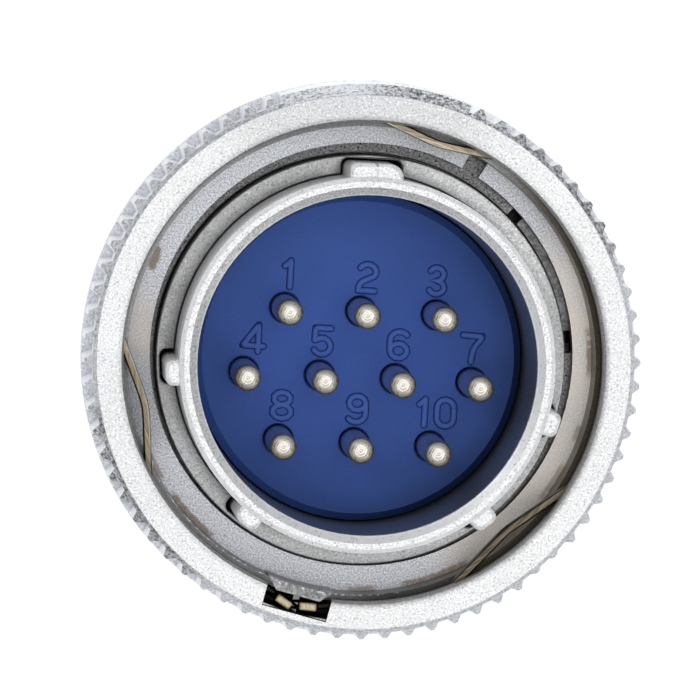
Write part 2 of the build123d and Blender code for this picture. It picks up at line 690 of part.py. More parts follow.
# Coupling ring: grip, lip, spring groove and window in one casting
with BuildPart() as coupling_ring:
    with BuildSketch(Plane.XZ):
        with BuildLine():
            Polyline(
                (lip_r, lip_rear_z),
                (lip_r, ring_front_z - LIP_CHAMFER),
                (lip_r + LIP_CHAMFER, ring_front_z),
                (ring_face_r, ring_front_z),
                (ring_root_r, ring_front_z - RING_FACE_CHAMFER),
                (ring_root_r, band_front_z),
                (band_r, band_front_z),
                (band_r, band_rear_z + BAND_CHAMFER),
                (band_r - BAND_CHAMFER, band_rear_z),
                (sleeve_r, band_rear_z),
                (sleeve_r, ring_rear_z),
                (shoulder_bore_r, ring_rear_z),
                (shoulder_bore_r, shoulder_z),
                (ring_bore_r, shoulder_z),
                (ring_bore_r, snap_rear_z - RING_STACK_GAP / 2),
                (snap_groove_r, snap_rear_z - RING_STACK_GAP / 2),
                (snap_groove_r, ledge_rear_z),
                (ring_bore_r, ledge_rear_z),
                (ring_bore_r, ledge_front_z),
                (strip_groove_r, ledge_front_z),
                (strip_groove_r, lip_rear_z),
                close=True,
            )
        make_face()
    revolve(axis=Axis.Z)
    with Locations(*[Location((0, 0, 0), (0, 0, a)) for a in grip_angles if a not in LOW_TOOTH_ANGLES]):
        add(full_tooth)
    with Locations(*[Location((0, 0, 0), (0, 0, a)) for a in grip_angles if a in LOW_TOOTH_ANGLES]):
        add(low_tooth)
    # Smooth pad over the wide key, as high as the teeth
    pad_start = WIDE_KEY_ANGLE - PAD_SPAN_ANGLE / 2
    pad_plane = Plane((0, 0, 0), x_dir=polar(1, pad_start) + (0,), z_dir=polar(1, pad_start - 90) + (0,))
    with BuildSketch(pad_plane):
        with BuildLine():
            Polyline(
                (tooth_sunk_r, tooth_rear_z),
                (pad_r + BAND_STEP, tooth_rear_z),
                (pad_r, tooth_lead_z),
                (tooth_sunk_r, tooth_front_z),
                close=True,
            )
        make_face()
    revolve(axis=Axis.Z, revolution_arc=PAD_SPAN_ANGLE)
    # Window in the lip, and the wider pocket behind it
    with BuildSketch(turned(lip_rear_z, WINDOW_ANGLE)):
        with Locations(((lip_r - STRIP_T + pocket_r) / 2, 0)):
            Rectangle(pocket_r - lip_r + STRIP_T, WINDOW_WIDTH)
    extrude(amount=LIP_T, mode=Mode.SUBTRACT)
    with BuildSketch(turned(ledge_rear_z, WINDOW_ANGLE)):
        with Locations((lip_r, 0)):
            Rectangle(lip_r, POCKET_WIDTH)
        Circle(pocket_r, mode=Mode.INTERSECT)
        Circle(strip_base_r, mode=Mode.SUBTRACT)
    extrude(amount=lip_rear_z - ledge_rear_z, mode=Mode.SUBTRACT)
    # Tapered boss between the ends of the strip, with a lower post behind it
    with BuildSketch(turned(ledge_rear_z, WINDOW_ANGLE)):
        with BuildLine():
            Polyline(
                (head_root_r, -HEAD_WIDTH / 2),
                (head_tip_r, -HEAD_TIP_WIDTH / 2),
                (head_tip_r, HEAD_TIP_WIDTH / 2),
                (head_root_r, HEAD_WIDTH / 2),
                close=True,
            )
        make_face()
        Circle(head_r, mode=Mode.SUBTRACT)
    extrude(amount=ring_front_z - HEAD_SINK - ledge_rear_z)
    with BuildSketch(turned(ledge_rear_z, WINDOW_ANGLE)):
        with Locations(((head_tip_r + ring_root_r) / 2 - RING_FACE_CHAMFER, 0)):
            Rectangle(ring_root_r - head_tip_r, POST_WIDTH)
    extrude(amount=ring_front_z - POST_SINK - ledge_rear_z)
    # Hole in the shoulder for the rear leg of the return spring
    with BuildSketch(Plane.XY.offset(shoulder_z)):
        with Locations(rear_leg):
            Circle(RETURN_WIRE_R + SPRING_HOLE_GAP)
    extrude(amount=-SPRING_LEG - SPRING_HOLE_GAP, mode=Mode.SUBTRACT)
coupling_ring.part.label = "coupling_ring"
export_step(coupling_ring.part, "parts/coupling_ring.step")

# Lock spring: one strip round the groove, bowed in three times, with its ends turned out at the window
strip_mid_r = strip_base_r + STRIP_T / 2
tab_tip_r = pocket_r - STRIP_T / 2 - PIN_FIT
tab_tip_across = POST_WIDTH / 2 + TAB_GAP


def window_point(radial, across):
    """Point by its distance out along the window's middle line and its distance across it."""
    out_x, out_y = polar(1, WINDOW_ANGLE)
    return (radial * out_x - across * out_y, radial * out_y + across * out_x)


# Middle and root of each tab, as distances out and across
tab_lines = []
for side, tilt, drop in zip((1, -1), TAB_TILT_ANGLES, (FLAT_TAB_DROP, 0)):
    back_x, back_y = polar(TAB_LENGTH / 2, tilt)
    tab_middle = (tab_tip_r - drop - back_y, side * (tab_tip_across + back_x))
    tab_root = (tab_tip_r - drop - back_y * 2, side * (tab_tip_across + back_x * 2))
    tab_lines.append((tab_middle, tab_root))
flat_tab, tilted_tab = [(window_point(*middle), window_point(*root)) for middle, root in tab_lines]
bow_rises = (LEFT_BOW_RISE, TOP_BOW_RISE, LOW_BOW_RISE)
leave_angle = WINDOW_ANGLE - END_BEND_ANGLE
join_angle = WINDOW_ANGLE + END_BEND_ANGLE - 360
with BuildPart() as lock_spring:
    with BuildSketch(Plane.XY.offset(strip_rear_z)):
        with BuildLine():
            Polyline(*tilted_tab, polar(strip_mid_r, leave_angle))
            arc_start = leave_angle
            for bow, half_span, rise in zip(BOW_ANGLES, BOW_HALF_SPAN_ANGLES, bow_rises):
                CenterArc((0, 0), strip_mid_r, arc_start, bow + half_span - arc_start)
                FilletPolyline(
                    polar(strip_mid_r, bow + half_span),
                    polar(strip_mid_r - rise, bow),
                    polar(strip_mid_r, bow - half_span),
                    radius=BOW_BEND_R,
                )
                arc_start = bow - half_span
            CenterArc((0, 0), strip_mid_r, arc_start, join_angle - arc_start)
            Polyline(polar(strip_mid_r, join_angle), *reversed(flat_tab))
            offset(amount=STRIP_T / 2)
        make_face()
    extrude(amount=STRIP_WIDTH)
    # The strip is cut back behind each end, which leaves a tab
    for side in (1, -1):
        with BuildSketch(turned(strip_front_z - TAB_NOTCH_DEPTH, WINDOW_ANGLE)):
            with Locations((strip_mid_r, side * (tab_tip_across + TAB_LENGTH * 1.5))):
                Rectangle(STRIP_T * 4, TAB_LENGTH)
        extrude(amount=TAB_NOTCH_DEPTH, mode=Mode.SUBTRACT)
    for side, tilt, (tab_middle, tab_root) in zip((1, -1), TAB_TILT_ANGLES, tab_lines):
        with BuildSketch(turned(strip_front_z - TAB_NOTCH_DEPTH, WINDOW_ANGLE)):
            with Locations(Location(tab_middle + (0,), (0, 0, side * tilt))):
                Rectangle(STRIP_T, TAB_LENGTH)
        extrude(amount=ring_front_z - TAB_SINK - strip_front_z + TAB_NOTCH_DEPTH)
lock_spring.part.label = "lock_spring"
export_step(lock_spring.part, "parts/lock_spring.step")

# Retaining ring: split flat ring snapped in behind the strip, lying off centre in its groove
snap_start = SNAP_GAP_MID_ANGLE - SNAP_GAP_SPAN_ANGLE / 2
with BuildPart() as retaining_ring:
    with BuildSketch(Plane.XY.offset(snap_rear_z)):
        with Locations(polar(SNAP_RING_PLAY - PIN_FIT, SNAP_RING_SHIFT_ANGLE)):
            Circle(snap_ring_r)
            Circle(snap_ring_bore_r, mode=Mode.SUBTRACT)
        Polygon(
            *wedge_points(snap_groove_r, snap_start, snap_start + SNAP_GAP_SPAN_ANGLE),
            align=None,
            mode=Mode.SUBTRACT,
        )
    extrude(amount=SNAP_RING_T)
retaining_ring.part.label = "retaining_ring"
export_step(retaining_ring.part, "parts/retaining_ring.step")

# Stop ring: open ring whose gap takes the stop lug, with play on both sides
with BuildPart() as stop_ring:
    with BuildSketch(Plane.XY.offset(stop_rear_z)):
        Circle(ring_bore_r - PIN_FIT)
        Circle(stop_ring_bore_r, mode=Mode.SUBTRACT)
        Polygon(
            *wedge_points(
                ring_bore_r,
                STOP_LUG_START_ANGLE - STOP_PLAY_CCW_ANGLE,
                stop_lug_end_angle + STOP_PLAY_CW_ANGLE,
            ),
            align=None,
            mode=Mode.SUBTRACT,
        )
    extrude(amount=STOP_RING_T)
    with BuildSketch(turned(stop_front_z, STOP_RING_LINE_ANGLE)):
        with Locations((stop_ring_bore_r, 0)):
            Rectangle(flange_r, STOP_RING_LINE_WIDTH)
    extrude(amount=-STOP_RING_LINE_DEPTH, mode=Mode.SUBTRACT)
stop_ring.part.label = "stop_ring"
export_step(stop_ring.part, "parts/stop_ring.step")

# Push ring: sleeve with keyways, and a collar held under the stop ring
with BuildPart() as push_ring:
    with BuildSketch(Plane.XY.offset(push_collar_z)):
        Circle(push_r)
        Circle(push_bore_r, mode=Mode.SUBTRACT)
    extrude(amount=PUSH_LENGTH)
    with BuildSketch(Plane.XY.offset(push_collar_z)):
        Circle(push_collar_r)
        Circle(push_bore_r, mode=Mode.SUBTRACT)
        Polygon(
            *wedge_points(
                push_collar_r,
                STOP_LUG_START_ANGLE - STOP_LEDGE_SPAN_ANGLE - STOP_PLAY_CW_ANGLE,
                stop_lug_end_angle + STOP_PLAY_CW_ANGLE,
            ),
            align=None,
            mode=Mode.SUBTRACT,
        )
    extrude(amount=PUSH_COLLAR_T)
    for angle, width in zip(key_angles, key_widths):
        with BuildSketch(turned(push_collar_z, angle + KEYWAY_TURN_ANGLE)) as keyway:
            with Locations((keyway_r / 2, 0)):
                Rectangle(keyway_r, width + KEYWAY_SIDE_GAP * 2)
            fillet(keyway.vertices().group_by(Axis.X)[-1], KEYWAY_CORNER)
        extrude(amount=PUSH_LENGTH, mode=Mode.SUBTRACT)
push_ring.part.label = "push_ring"
export_step(push_ring.part, "parts/push_ring.step")

# Push spring: coil between the push ring and the floor of its well
push_coil_z = well_floor_z + SPRING_SEAT_GAP + PUSH_WIRE_R
push_coil_height = push_collar_z - SPRING_SEAT_GAP - PUSH_WIRE_R - push_coil_z
with BuildPart() as push_spring:
    with BuildLine() as push_path:
        Helix(push_coil_height / PUSH_TURNS, push_coil_height, push_coil_r, center=(0, 0, push_coil_z))
    with BuildSketch(Plane(origin=push_path.line @ 0, z_dir=push_path.line % 0)):
        Circle(PUSH_WIRE_R)
    sweep(is_frenet=True)
push_spring.part.label = "push_spring"
export_step(push_spring.part, "parts/push_spring.step")

# Return spring: torsion coil whose legs stand in the shoulder and in the flange
with BuildPart() as return_spring:
    spring_wire = return_path.wires()[0]
    with BuildSketch(Plane(origin=spring_wire @ 0, z_dir=spring_wire % 0)):
        Circle(RETURN_WIRE_R)
    sweep(path=spring_wire)
return_spring.part.label = "return_spring"
export_step(return_spring.part, "parts/return_spring.step")

print("rim", rim_z, "ring front", ring_front_z, "face", face_z, "push front", push_front_z)
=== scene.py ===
"""Dresses a packed circular cable plug: finishes, raised contact numbers and a small studio."""

import math

import bpy
from mathutils import Euler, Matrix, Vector


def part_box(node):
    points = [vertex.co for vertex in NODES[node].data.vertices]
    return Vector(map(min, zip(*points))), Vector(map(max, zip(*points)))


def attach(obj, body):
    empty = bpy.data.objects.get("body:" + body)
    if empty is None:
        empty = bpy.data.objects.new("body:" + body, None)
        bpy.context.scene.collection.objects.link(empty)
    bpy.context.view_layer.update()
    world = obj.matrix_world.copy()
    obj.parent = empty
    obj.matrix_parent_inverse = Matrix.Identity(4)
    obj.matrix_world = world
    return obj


bl_info = {
    "name": "Circular Cable Plug",
    "version": (1, 0, 0),
    "blender": (4, 5, 0),
    "location": "View3D > Sidebar > Plug",
    "description": "Finishes, raised contact numbers and a studio for a circular cable plug",
    "category": "Add Mesh",
}

MM = 0.001
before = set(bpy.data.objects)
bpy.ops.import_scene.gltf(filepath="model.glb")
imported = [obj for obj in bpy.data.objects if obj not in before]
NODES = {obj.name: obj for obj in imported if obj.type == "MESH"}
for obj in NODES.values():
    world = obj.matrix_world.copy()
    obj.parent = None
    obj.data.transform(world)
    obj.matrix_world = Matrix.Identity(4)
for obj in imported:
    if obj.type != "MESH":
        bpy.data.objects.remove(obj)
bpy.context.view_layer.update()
PIN_NODES = [name for name in NODES if name.startswith("contact_pin_")]
PIN_NODES.sort(key=lambda name: int(name.rsplit("_", 1)[1]))


def middle(node):
    """Centre of a CAD node's box, in metres."""
    low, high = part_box(node)
    return (low + high) / 2


FACE_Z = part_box("front_insulator")[1].z
RIM_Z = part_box("barrel_shell")[1].z
RING_FRONT_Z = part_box("coupling_ring")[1].z
PIN_TIP_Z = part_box("contact_pin_1")[1].z
TAB_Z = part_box("lock_spring")[1].z

# Levels where a finish changes, the last two at the fronts of the boss and of its post in the window
FLANGE_Z = 53.1 * MM
LEDGE_Z = 59.6 * MM
BOSS_FRONT_Z = RING_FRONT_Z - 0.9 * MM
POST_FRONT_Z = RING_FRONT_Z - 1.8 * MM

# Distances from the axis where a finish changes, from the insulator outwards
FACE_R = 9.0 * MM
BORE_EDGE_R = 9.8 * MM
RIM_MID_R = 10.3 * MM
LUG_R = 12.1 * MM
LUG_END_R = 13.7 * MM
BORE_R = 13.72 * MM
LIP_R = 13.98 * MM
POCKET_R = 15.16 * MM
FACE_EDGE_R = 15.51 * MM

# The window in the lip: its direction from the axis, and how far the painted shade in it, on the boss and on
# the strip's ends goes to each side of its middle, full and faded. The boss's painted shade starts and is
# full at two distances from the axis
WINDOW_ANGLE = math.radians(257.2)
WINDOW_OUT = (math.cos(WINDOW_ANGLE), math.sin(WINDOW_ANGLE))
WINDOW_SHADE_HALF_WIDTH = (3.3 * MM, 3.4 * MM)
BOSS_SHADE_HALF_WIDTH = (2.2 * MM, 2.3 * MM)
STRIP_END_SHADE_HALF_WIDTH = (2.6 * MM, 3.2 * MM)
BOSS_SHADE_START_R = (13.0 * MM, 13.5 * MM)

# Sectors in degrees round the axis: where each starts, is full, fades and ends, and its strength
# Painted shade on the lip's inner edge, and painted light and shade on the front face
LIP_EDGE_PAINTED_SHADE = ((-110, -80, 20, 50, 0.4), (60, 80, 110, 130, 0.15))
FACE_PAINTED_LIGHT = ((55, 75, 112, 132, -0.17), (-181, -180, -150, -130, -0.04))
# Painted shade on the ledge, and painted highlights along its front corner
LEDGE_PAINTED_SHADE = ((-100, -80, 40, 60, 0.3), (-181, -180, -110, -90, 0.2))
LEDGE_GLINTS = ((-170, -150, -90, -70, 0.6),)
LEDGE_BROWNS = ((-75, -55, 40, 60, 1.0),)
# Painted shade on the grip's sloping front ends and on its chamfer
GRIP_PAINTED_SHADE = (
    (96, 106, 176, 180, 0.2),
    (20, 30, 85, 96, 0.6),
    (-170, -165, -130, -120, 0.6),
    (-118, -110, -20, 0, 0.05),
)
# Painted light and shade round the axis on the push ring and on the stop ring
PUSH_RING_PAINTED_LIGHT = (
    (15, 40, 62, 95, 0.2),
    (150, 165, 180, 181, -0.1),
    (-181, -180, -165, -150, -0.1),
)
STOP_RING_PAINTED_LIGHT = ((8, 12, 46, 50, 0.12),)
# Painted light and shade on the strip, and painted glints on its inner edge
STRIP_PAINTED_LIGHT = ((60, 70, 95, 105, 0.55), (150, 170, 180, 181, 0.1), (-80, -65, -35, -20, -0.3))
STRIP_GLINTS = ((60, 68, 90, 100, 1.0), (-181, -180, -160, -150, 1.0), (166, 178, 180, 181, 0.6))
TAN_SECTORS = ((-72, -54, 20, 44, 1.0), (162, 172, 178, 184, 0.8))
# Painted light and shade round the axis on the retaining ring
RETAINING_PAINTED_LIGHT = (
    (-181, -180, -160, -150, -0.14),
    (95, 115, 150, 165, 0.1),
    (165, 172, 180, 181, -0.1),
    (-15, 0, 20, 40, 0.12),
)

# The top of the grip, brighter with painted light: where it starts, is full, fades and ends
GRIP_TOP_PAINTED_LIGHT = (55, 75, 100, 122)

# Rust along the retaining ring's outer line: distances where it starts and is full, and its sectors
RUST_R = (13.5 * MM, 13.68 * MM)
RUST_SECTORS = (
    (-154, -152, -147, -145, 0.6),
    (-142, -140, -128, -126, 1.0),
    (-91, -89, -84, -82, 0.6),
    (-78, -75, -61, -58, 0.8),
    (-36, -34, -26, -24, 0.5),
    (-19, -17, -15, -13, 0.5),
    (-3, 0, 8, 12, 0.7),
)

# Brown spots on the retaining ring: angle in degrees, distance from the axis and reach
STAIN_SPOTS = (
    (112.0, 13.15 * MM, 0.11 * MM),
    (154.6, 13.5 * MM, 0.3 * MM),
    (156.6, 13.5 * MM, 0.38 * MM),
    (158.8, 13.4 * MM, 0.3 * MM),
    (235.8, 13.1 * MM, 0.16 * MM),
    (32.1, 12.95 * MM, 0.12 * MM),
    (26.3, 12.75 * MM, 0.12 * MM),
)

# Colours that a finish takes in places, beside those of the settings
# The bore's colour is a warm painted shade that dulls the insulator's blue reflection
BORE_PAINTED_SHADE_COLOR = (0.56, 0.50, 0.35)
LEDGE_COLOR = (0.66, 0.58, 0.46)
GLINT_COLOR = (1.0, 0.95, 0.82)
MOULD_SKIN_COLOR = (0.10, 0.20, 0.66)
# The contacts' sides: painted shade with a faint bluish painted reflection
CONTACT_SIDE_PAINTED_SHADE_COLOR = (0.62, 0.62, 0.66)
CONTACT_EDGE_COLOR = (0.46, 0.35, 0.22)
CONTACT_MARK_COLOR = (0.30, 0.23, 0.14)
DUST_COLOR = (0.07, 0.07, 0.072)

# Noise lies mostly between these values
NOISE_LOW = 0.3
NOISE_HIGH = 0.7

# The castings' grain: its roughness from the pits to the tops, and its relief
CAST_ROUGHNESS = (0.46, 0.32)
CAST_RELIEF = 0.009 * MM

# Softened CAD nodes: how near to each other corners are joined, and the angle that makes an edge sharp
JOIN_DISTANCE = 0.001 * MM
SHARP_ANGLE = math.radians(50)

# The stage's floor, what its softboxes aim at, and each one's name, place, size and share of the power
FLOOR_SIZE = 3.0
FLOOR_Z = -0.05 * MM
LIGHT_TARGET = Vector((0, 0, 0.05))
SOFTBOXES = (
    ("softbox_top", (0.03, 0.0, 1.0), 0.9, 1.0),
    ("softbox_left", (-0.75, 0.6, 0.8), 0.3, 0.3),
    ("softbox_right", (0.8, -0.6, 0.8), 0.4, 0.2),
)


# Settings


class PlugFinish(bpy.types.PropertyGroup):
    """Colours and grain of the plug's finishes."""

    plating_color: bpy.props.FloatVectorProperty(
        name="Plating", description="Colour of the satin plated castings",
        subtype="COLOR", size=3, min=0, max=1, default=(0.76, 0.76, 0.76))
    # The grip's colour is a cooler painted reflection on the same plating
    grip_painted_reflection_color: bpy.props.FloatVectorProperty(
        name="Grip", description="Colour of the plating round the grip",
        subtype="COLOR", size=3, min=0, max=1, default=(0.86, 0.875, 0.915))
    plating_grain: bpy.props.FloatProperty(
        name="Plating Grain", description="Size of the blasted grain",
        subtype="DISTANCE", unit="LENGTH", default=0.1 * MM, min=0.01 * MM)
    ring_color: bpy.props.FloatVectorProperty(
        name="Flat Rings", description="Colour of the stamped rings in the coupling ring",
        subtype="COLOR", size=3, min=0, max=1, default=(0.64, 0.65, 0.685))
    strip_color: bpy.props.FloatVectorProperty(
        name="Lock Strip", description="Colour of the tempered spring strip",
        subtype="COLOR", size=3, min=0, max=1, default=(0.36, 0.30, 0.21))
    # The tabs' colour is the strip's tan, painted brighter as lit faces
    tab_lit_color: bpy.props.FloatVectorProperty(
        name="Tabs", description="Colour of the tabs at the strip's ends",
        subtype="COLOR", size=3, min=0, max=1, default=(0.76, 0.66, 0.42))
    stain_color: bpy.props.FloatVectorProperty(
        name="Stain", description="Colour of the brown stains on the retaining ring",
        subtype="COLOR", size=3, min=0, max=1, default=(0.27, 0.18, 0.11))
    tan_color: bpy.props.FloatVectorProperty(
        name="Tan", description="Colour of the tan film on the retaining ring",
        subtype="COLOR", size=3, min=0, max=1, default=(0.72, 0.645, 0.56))
    insulator_color: bpy.props.FloatVectorProperty(
        name="Insulator", description="Colour of the moulded insulators",
        subtype="COLOR", size=3, min=0, max=1, default=(0.065, 0.155, 0.60))
    contact_color: bpy.props.FloatVectorProperty(
        name="Contacts", description="Colour of the plated contacts",
        subtype="COLOR", size=3, min=0, max=1, default=(1.0, 0.96, 0.87))
    rubber_color: bpy.props.FloatVectorProperty(
        name="Rubber", description="Colour of the bushing and the seals",
        subtype="COLOR", size=3, min=0, max=1, default=(0.02, 0.02, 0.021))


class PlugNumbers(bpy.types.PropertyGroup):
    """Raised contact numbers on the insulator."""

    height: bpy.props.FloatProperty(
        name="Height", description="Height of a digit",
        subtype="DISTANCE", unit="LENGTH", default=1.56 * MM, min=0.5 * MM)
    stroke: bpy.props.FloatProperty(
        name="Stroke", description="Width of a digit's stroke",
        subtype="DISTANCE", unit="LENGTH", default=0.43 * MM, min=0.05 * MM)
    relief: bpy.props.FloatProperty(
        name="Relief", description="How far the digits stand out of the face",
        subtype="DISTANCE", unit="LENGTH", default=0.16 * MM, min=0.01 * MM)
    rise: bpy.props.FloatProperty(
        name="Rise", description="From a contact up to the middle of its number",
        subtype="DISTANCE", unit="LENGTH", default=2.0 * MM, min=0)


class PlugStage(bpy.types.PropertyGroup):
    """Floor, lights and camera."""

    camera_place: bpy.props.FloatVectorProperty(
        name="Camera", description="Place of the camera",
        subtype="TRANSLATION", unit="LENGTH", size=3,
        default=(-19.795 * MM, 15.241 * MM, 405.385 * MM))
    camera_turn: bpy.props.FloatVectorProperty(
        name="Camera Turn", description="Rotation of the camera",
        subtype="EULER", unit="ROTATION", size=3,
        default=tuple(math.radians(a) for a in (-2.578, -3.028, 2.9015)))
    lens: bpy.props.FloatProperty(
        name="Lens", description="Focal length for a 36 mm sensor",
        subtype="DISTANCE_CAMERA", unit="CAMERA", default=304.97, min=1)
    floor_color: bpy.props.FloatVectorProperty(
        name="Floor", description="Colour of the floor",
        subtype="COLOR", size=3, min=0, max=1, default=(0.93, 0.93, 0.93))
    softbox_power: bpy.props.FloatProperty(
        name="Softbox Power", description="Power of the main softbox",
        subtype="POWER", unit="POWER", default=3.2, min=0)
    sky: bpy.props.FloatProperty(
        name="Sky", description="Strength of the even light from all round",
        default=0.3, min=0)
    floor_glow: bpy.props.FloatProperty(
        name="Floor Glow", description="Light that the floor gives back from the lamps beyond the stage",
        default=0.6, min=0)


# Materials


class Wire:
    """A number on its way through a material: arithmetic on it adds Math nodes."""

    def __init__(self, look, socket):
        self.look = look
        self.socket = socket

    def join(self, operation, left, right):
        return self.look.node("ShaderNodeMath", {"operation": operation}, {0: left, 1: right})

    def __add__(self, other):
        return self.join("ADD", self, other)

    def __radd__(self, other):
        return self.join("ADD", other, self)

    def __sub__(self, other):
        return self.join("SUBTRACT", self, other)

    def __rsub__(self, other):
        return self.join("SUBTRACT", other, self)

    def __mul__(self, other):
        return self.join("MULTIPLY", self, other)

    def __rmul__(self, other):
        return self.join("MULTIPLY", other, self)

    def __truediv__(self, other):
        return self.join("DIVIDE", self, other)

    def __rtruediv__(self, other):
        return self.join("DIVIDE", other, self)

    def __pow__(self, other):
        return self.join("POWER", self, other)


class Look:
    """A procedural material while it is being put together."""

    def __init__(self, name):
        self.material = bpy.data.materials.new(name)
        self.material.use_nodes = True
        self.tree = self.material.node_tree
        self.tree.nodes.clear()

    def node(self, kind, settings=None, inputs=None, output=0):
        """Adds a node: its settings first, then the values or wires of its sockets."""
        made = self.tree.nodes.new(kind)
        for name, value in (settings or {}).items():
            if name == "stops":
                ramp = made.color_ramp
                while len(ramp.elements) < len(value):
                    ramp.elements.new(0.5)
                for element, (place, color) in zip(ramp.elements, value):
                    element.position = place
                    element.color = color
            else:
                setattr(made, name, value)
        for name, value in (inputs or {}).items():
            if isinstance(value, Wire):
                self.tree.links.new(value.socket, made.inputs[name])
            else:
                made.inputs[name].default_value = value
        return Wire(self, made.outputs[output]) if made.outputs else None

    def place(self, offset=(0, 0, 0)):
        """Object coordinates, shifted so that this point is the origin."""
        point = self.node("ShaderNodeTexCoord", output="Object")
        if any(offset):
            shift = tuple(-value for value in offset)
            point = self.node("ShaderNodeMapping", {}, {"Vector": point, "Location": shift})
        return point

    def axes(self, point):
        """The three parts of a vector."""
        split = self.node("ShaderNodeSeparateXYZ", {}, {"Vector": point})
        outputs = split.socket.node.outputs
        return Wire(self, outputs[0]), Wire(self, outputs[1]), Wire(self, outputs[2])

    def noise(self, point, size, detail, rough):
        """Noise from 0 to 1 with features of this size, in metres."""
        return self.node(
            "ShaderNodeTexNoise", {},
            {"Vector": point, "Scale": 1 / size, "Detail": detail, "Roughness": rough})

    def ramp(self, value, low, high, to_low=0.0, to_high=1.0):
        """Value mapped from one range to another, held at the ends."""
        return self.node(
            "ShaderNodeMapRange", {"clamp": True},
            {"Value": value, "From Min": low, "From Max": high, "To Min": to_low, "To Max": to_high})

    def smooth(self, value, low, high):
        """Value eased from 0 at low to 1 at high."""
        return self.node(
            "ShaderNodeMapRange", {"interpolation_type": "SMOOTHSTEP"},
            {"Value": value, "From Min": low, "From Max": high, "To Min": 0.0, "To Max": 1.0})

    def under(self, value, low, high):
        """Value eased from 1 at low down to 0 at high."""
        return 1 - self.smooth(value, low, high)

    def between(self, value, start, full, fade, end):
        """1 between full and fade, eased down to 0 at start and at end."""
        return self.smooth(value, start, full) * self.under(value, fade, end)

    def within(self, value, full, end):
        """1 up to full to both sides of 0, eased down to 0 at end."""
        return self.between(value, -end, -full, full, end)

    def spread(self, noise, low, high):
        """Noise mapped so that its usual range runs from low to high."""
        return self.ramp(noise, NOISE_LOW, NOISE_HIGH, low, high)

    def blend(self, factor, first, second):
        """Colour that goes from first to second."""
        return self.node(
            "ShaderNodeMix", {"data_type": "RGBA"},
            {0: factor, 6: as_color(first), 7: as_color(second)}, output=2)

    def times(self, color, shade):
        """Colour made lighter or darker by a number."""
        grey = self.node("ShaderNodeCombineColor", {}, {0: shade, 1: shade, 2: shade})
        return self.node(
            "ShaderNodeMix", {"data_type": "RGBA", "blend_type": "MULTIPLY"},
            {0: 1.0, 6: color, 7: grey}, output=2)

    def bump(self, height, distance):
        """Normal from a height between 0 and 1, where 1 stands for this many metres."""
        return self.node("ShaderNodeBump", {}, {"Height": height, "Distance": distance, "Strength": 1.0})

    def angle_about_axis(self, x, y):
        """Degrees round the plug's axis, from -180 to 180."""
        turn = self.node("ShaderNodeMath", {"operation": "ARCTAN2"}, {0: y, 1: x})
        return turn * (180 / math.pi)

    def distance_to(self, x, y, angle, radius):
        """Distance from a spot that is given by its angle and its distance from the axis."""
        off_x = x - radius * math.cos(math.radians(angle))
        off_y = y - radius * math.sin(math.radians(angle))
        return (off_x * off_x + off_y * off_y) ** 0.5

    def distance_from_axis(self, x, y):
        """Distance from the plug's axis."""
        return (x * x + y * y) ** 0.5

    def normal(self):
        """The three parts of the surface's own normal."""
        return self.axes(self.node("ShaderNodeNewGeometry", output="Normal"))

    def window_axes(self, x, y):
        """Distance out through the middle of the lip's window, and distance across it."""
        out_x, out_y = WINDOW_OUT
        return x * out_x + y * out_y, x * -out_y + y * out_x

    def sectors(self, angle, stops, base=1.0):
        """Shade that changes round the axis: each stop gives start, full, fade, end and its gain."""
        shade = base
        for start, full, fade, end, gain in stops:
            shade = self.between(angle, start, full, fade, end) * gain + shade
        return shade

    def finish(self, settings):
        """Ends the material with a Principled surface and returns it."""
        shader = self.node("ShaderNodeBsdfPrincipled", {}, settings)
        self.node("ShaderNodeOutputMaterial", {}, {"Surface": shader})
        return self.material


def as_color(value):
    """A colour with its alpha, or a wire as it is."""
    return value if isinstance(value, Wire) else (value[0], value[1], value[2], 1.0)


def toned(color, share):
    """A colour made lighter or darker."""
    return tuple(min(1.0, part * share) for part in color)


def blasted(look, point, size, contrast):
    """Grain of a blasted and plated casting: its height, and a shade round 1 with dark flecks and bright
    flecks of painted sparkle.
    """
    grain = look.noise(point, size, 3.0, 0.6)
    coarse = look.noise(point, size * 3.2, 2.0, 0.5)
    fleck = look.noise(point, size * 1.4, 1.0, 0.5)
    shade = look.ramp(grain, 0.32, 0.68, 1 - contrast * 1.5, 1 + contrast * 1.5)
    shade = shade - look.under(fleck, 0.3, 0.42) * contrast * 2
    # Bright flecks of painted sparkle
    shade = shade + look.smooth(fleck, 0.6, 0.7) * contrast * 2
    return grain * 0.7 + coarse * 0.3, shade


def plating(name, finish, tone, contrast=0.1, relief=0.006 * MM, stops=()):
    """Pearl plating on a blasted casting, in one tone that painted light and shade may change round the axis.
    """
    look = Look(name)
    point = look.place()
    x, y, _ = look.axes(point)
    height, sparkle = blasted(look, point, finish.plating_grain, contrast)
    cloud = look.spread(look.noise(point, 4.5 * MM, 3.0, 0.55), 0.95, 1.0)
    # The stops paint light and shade round the axis
    shade = look.sectors(look.angle_about_axis(x, y), stops, tone) * sparkle * cloud

    # Walls and slopes are less metallic than the fronts, so they stay pale
    facing = look.normal()[2]
    slope = look.between(facing, -0.2, 0.0, 0.9, 0.97)
    return look.finish({
        "Base Color": look.times(as_color(finish.plating_color), shade),
        "Metallic": 1 - slope * 0.85,
        "Roughness": look.spread(height, 0.44, 0.3),
        "Normal": look.bump(height, relief),
    })


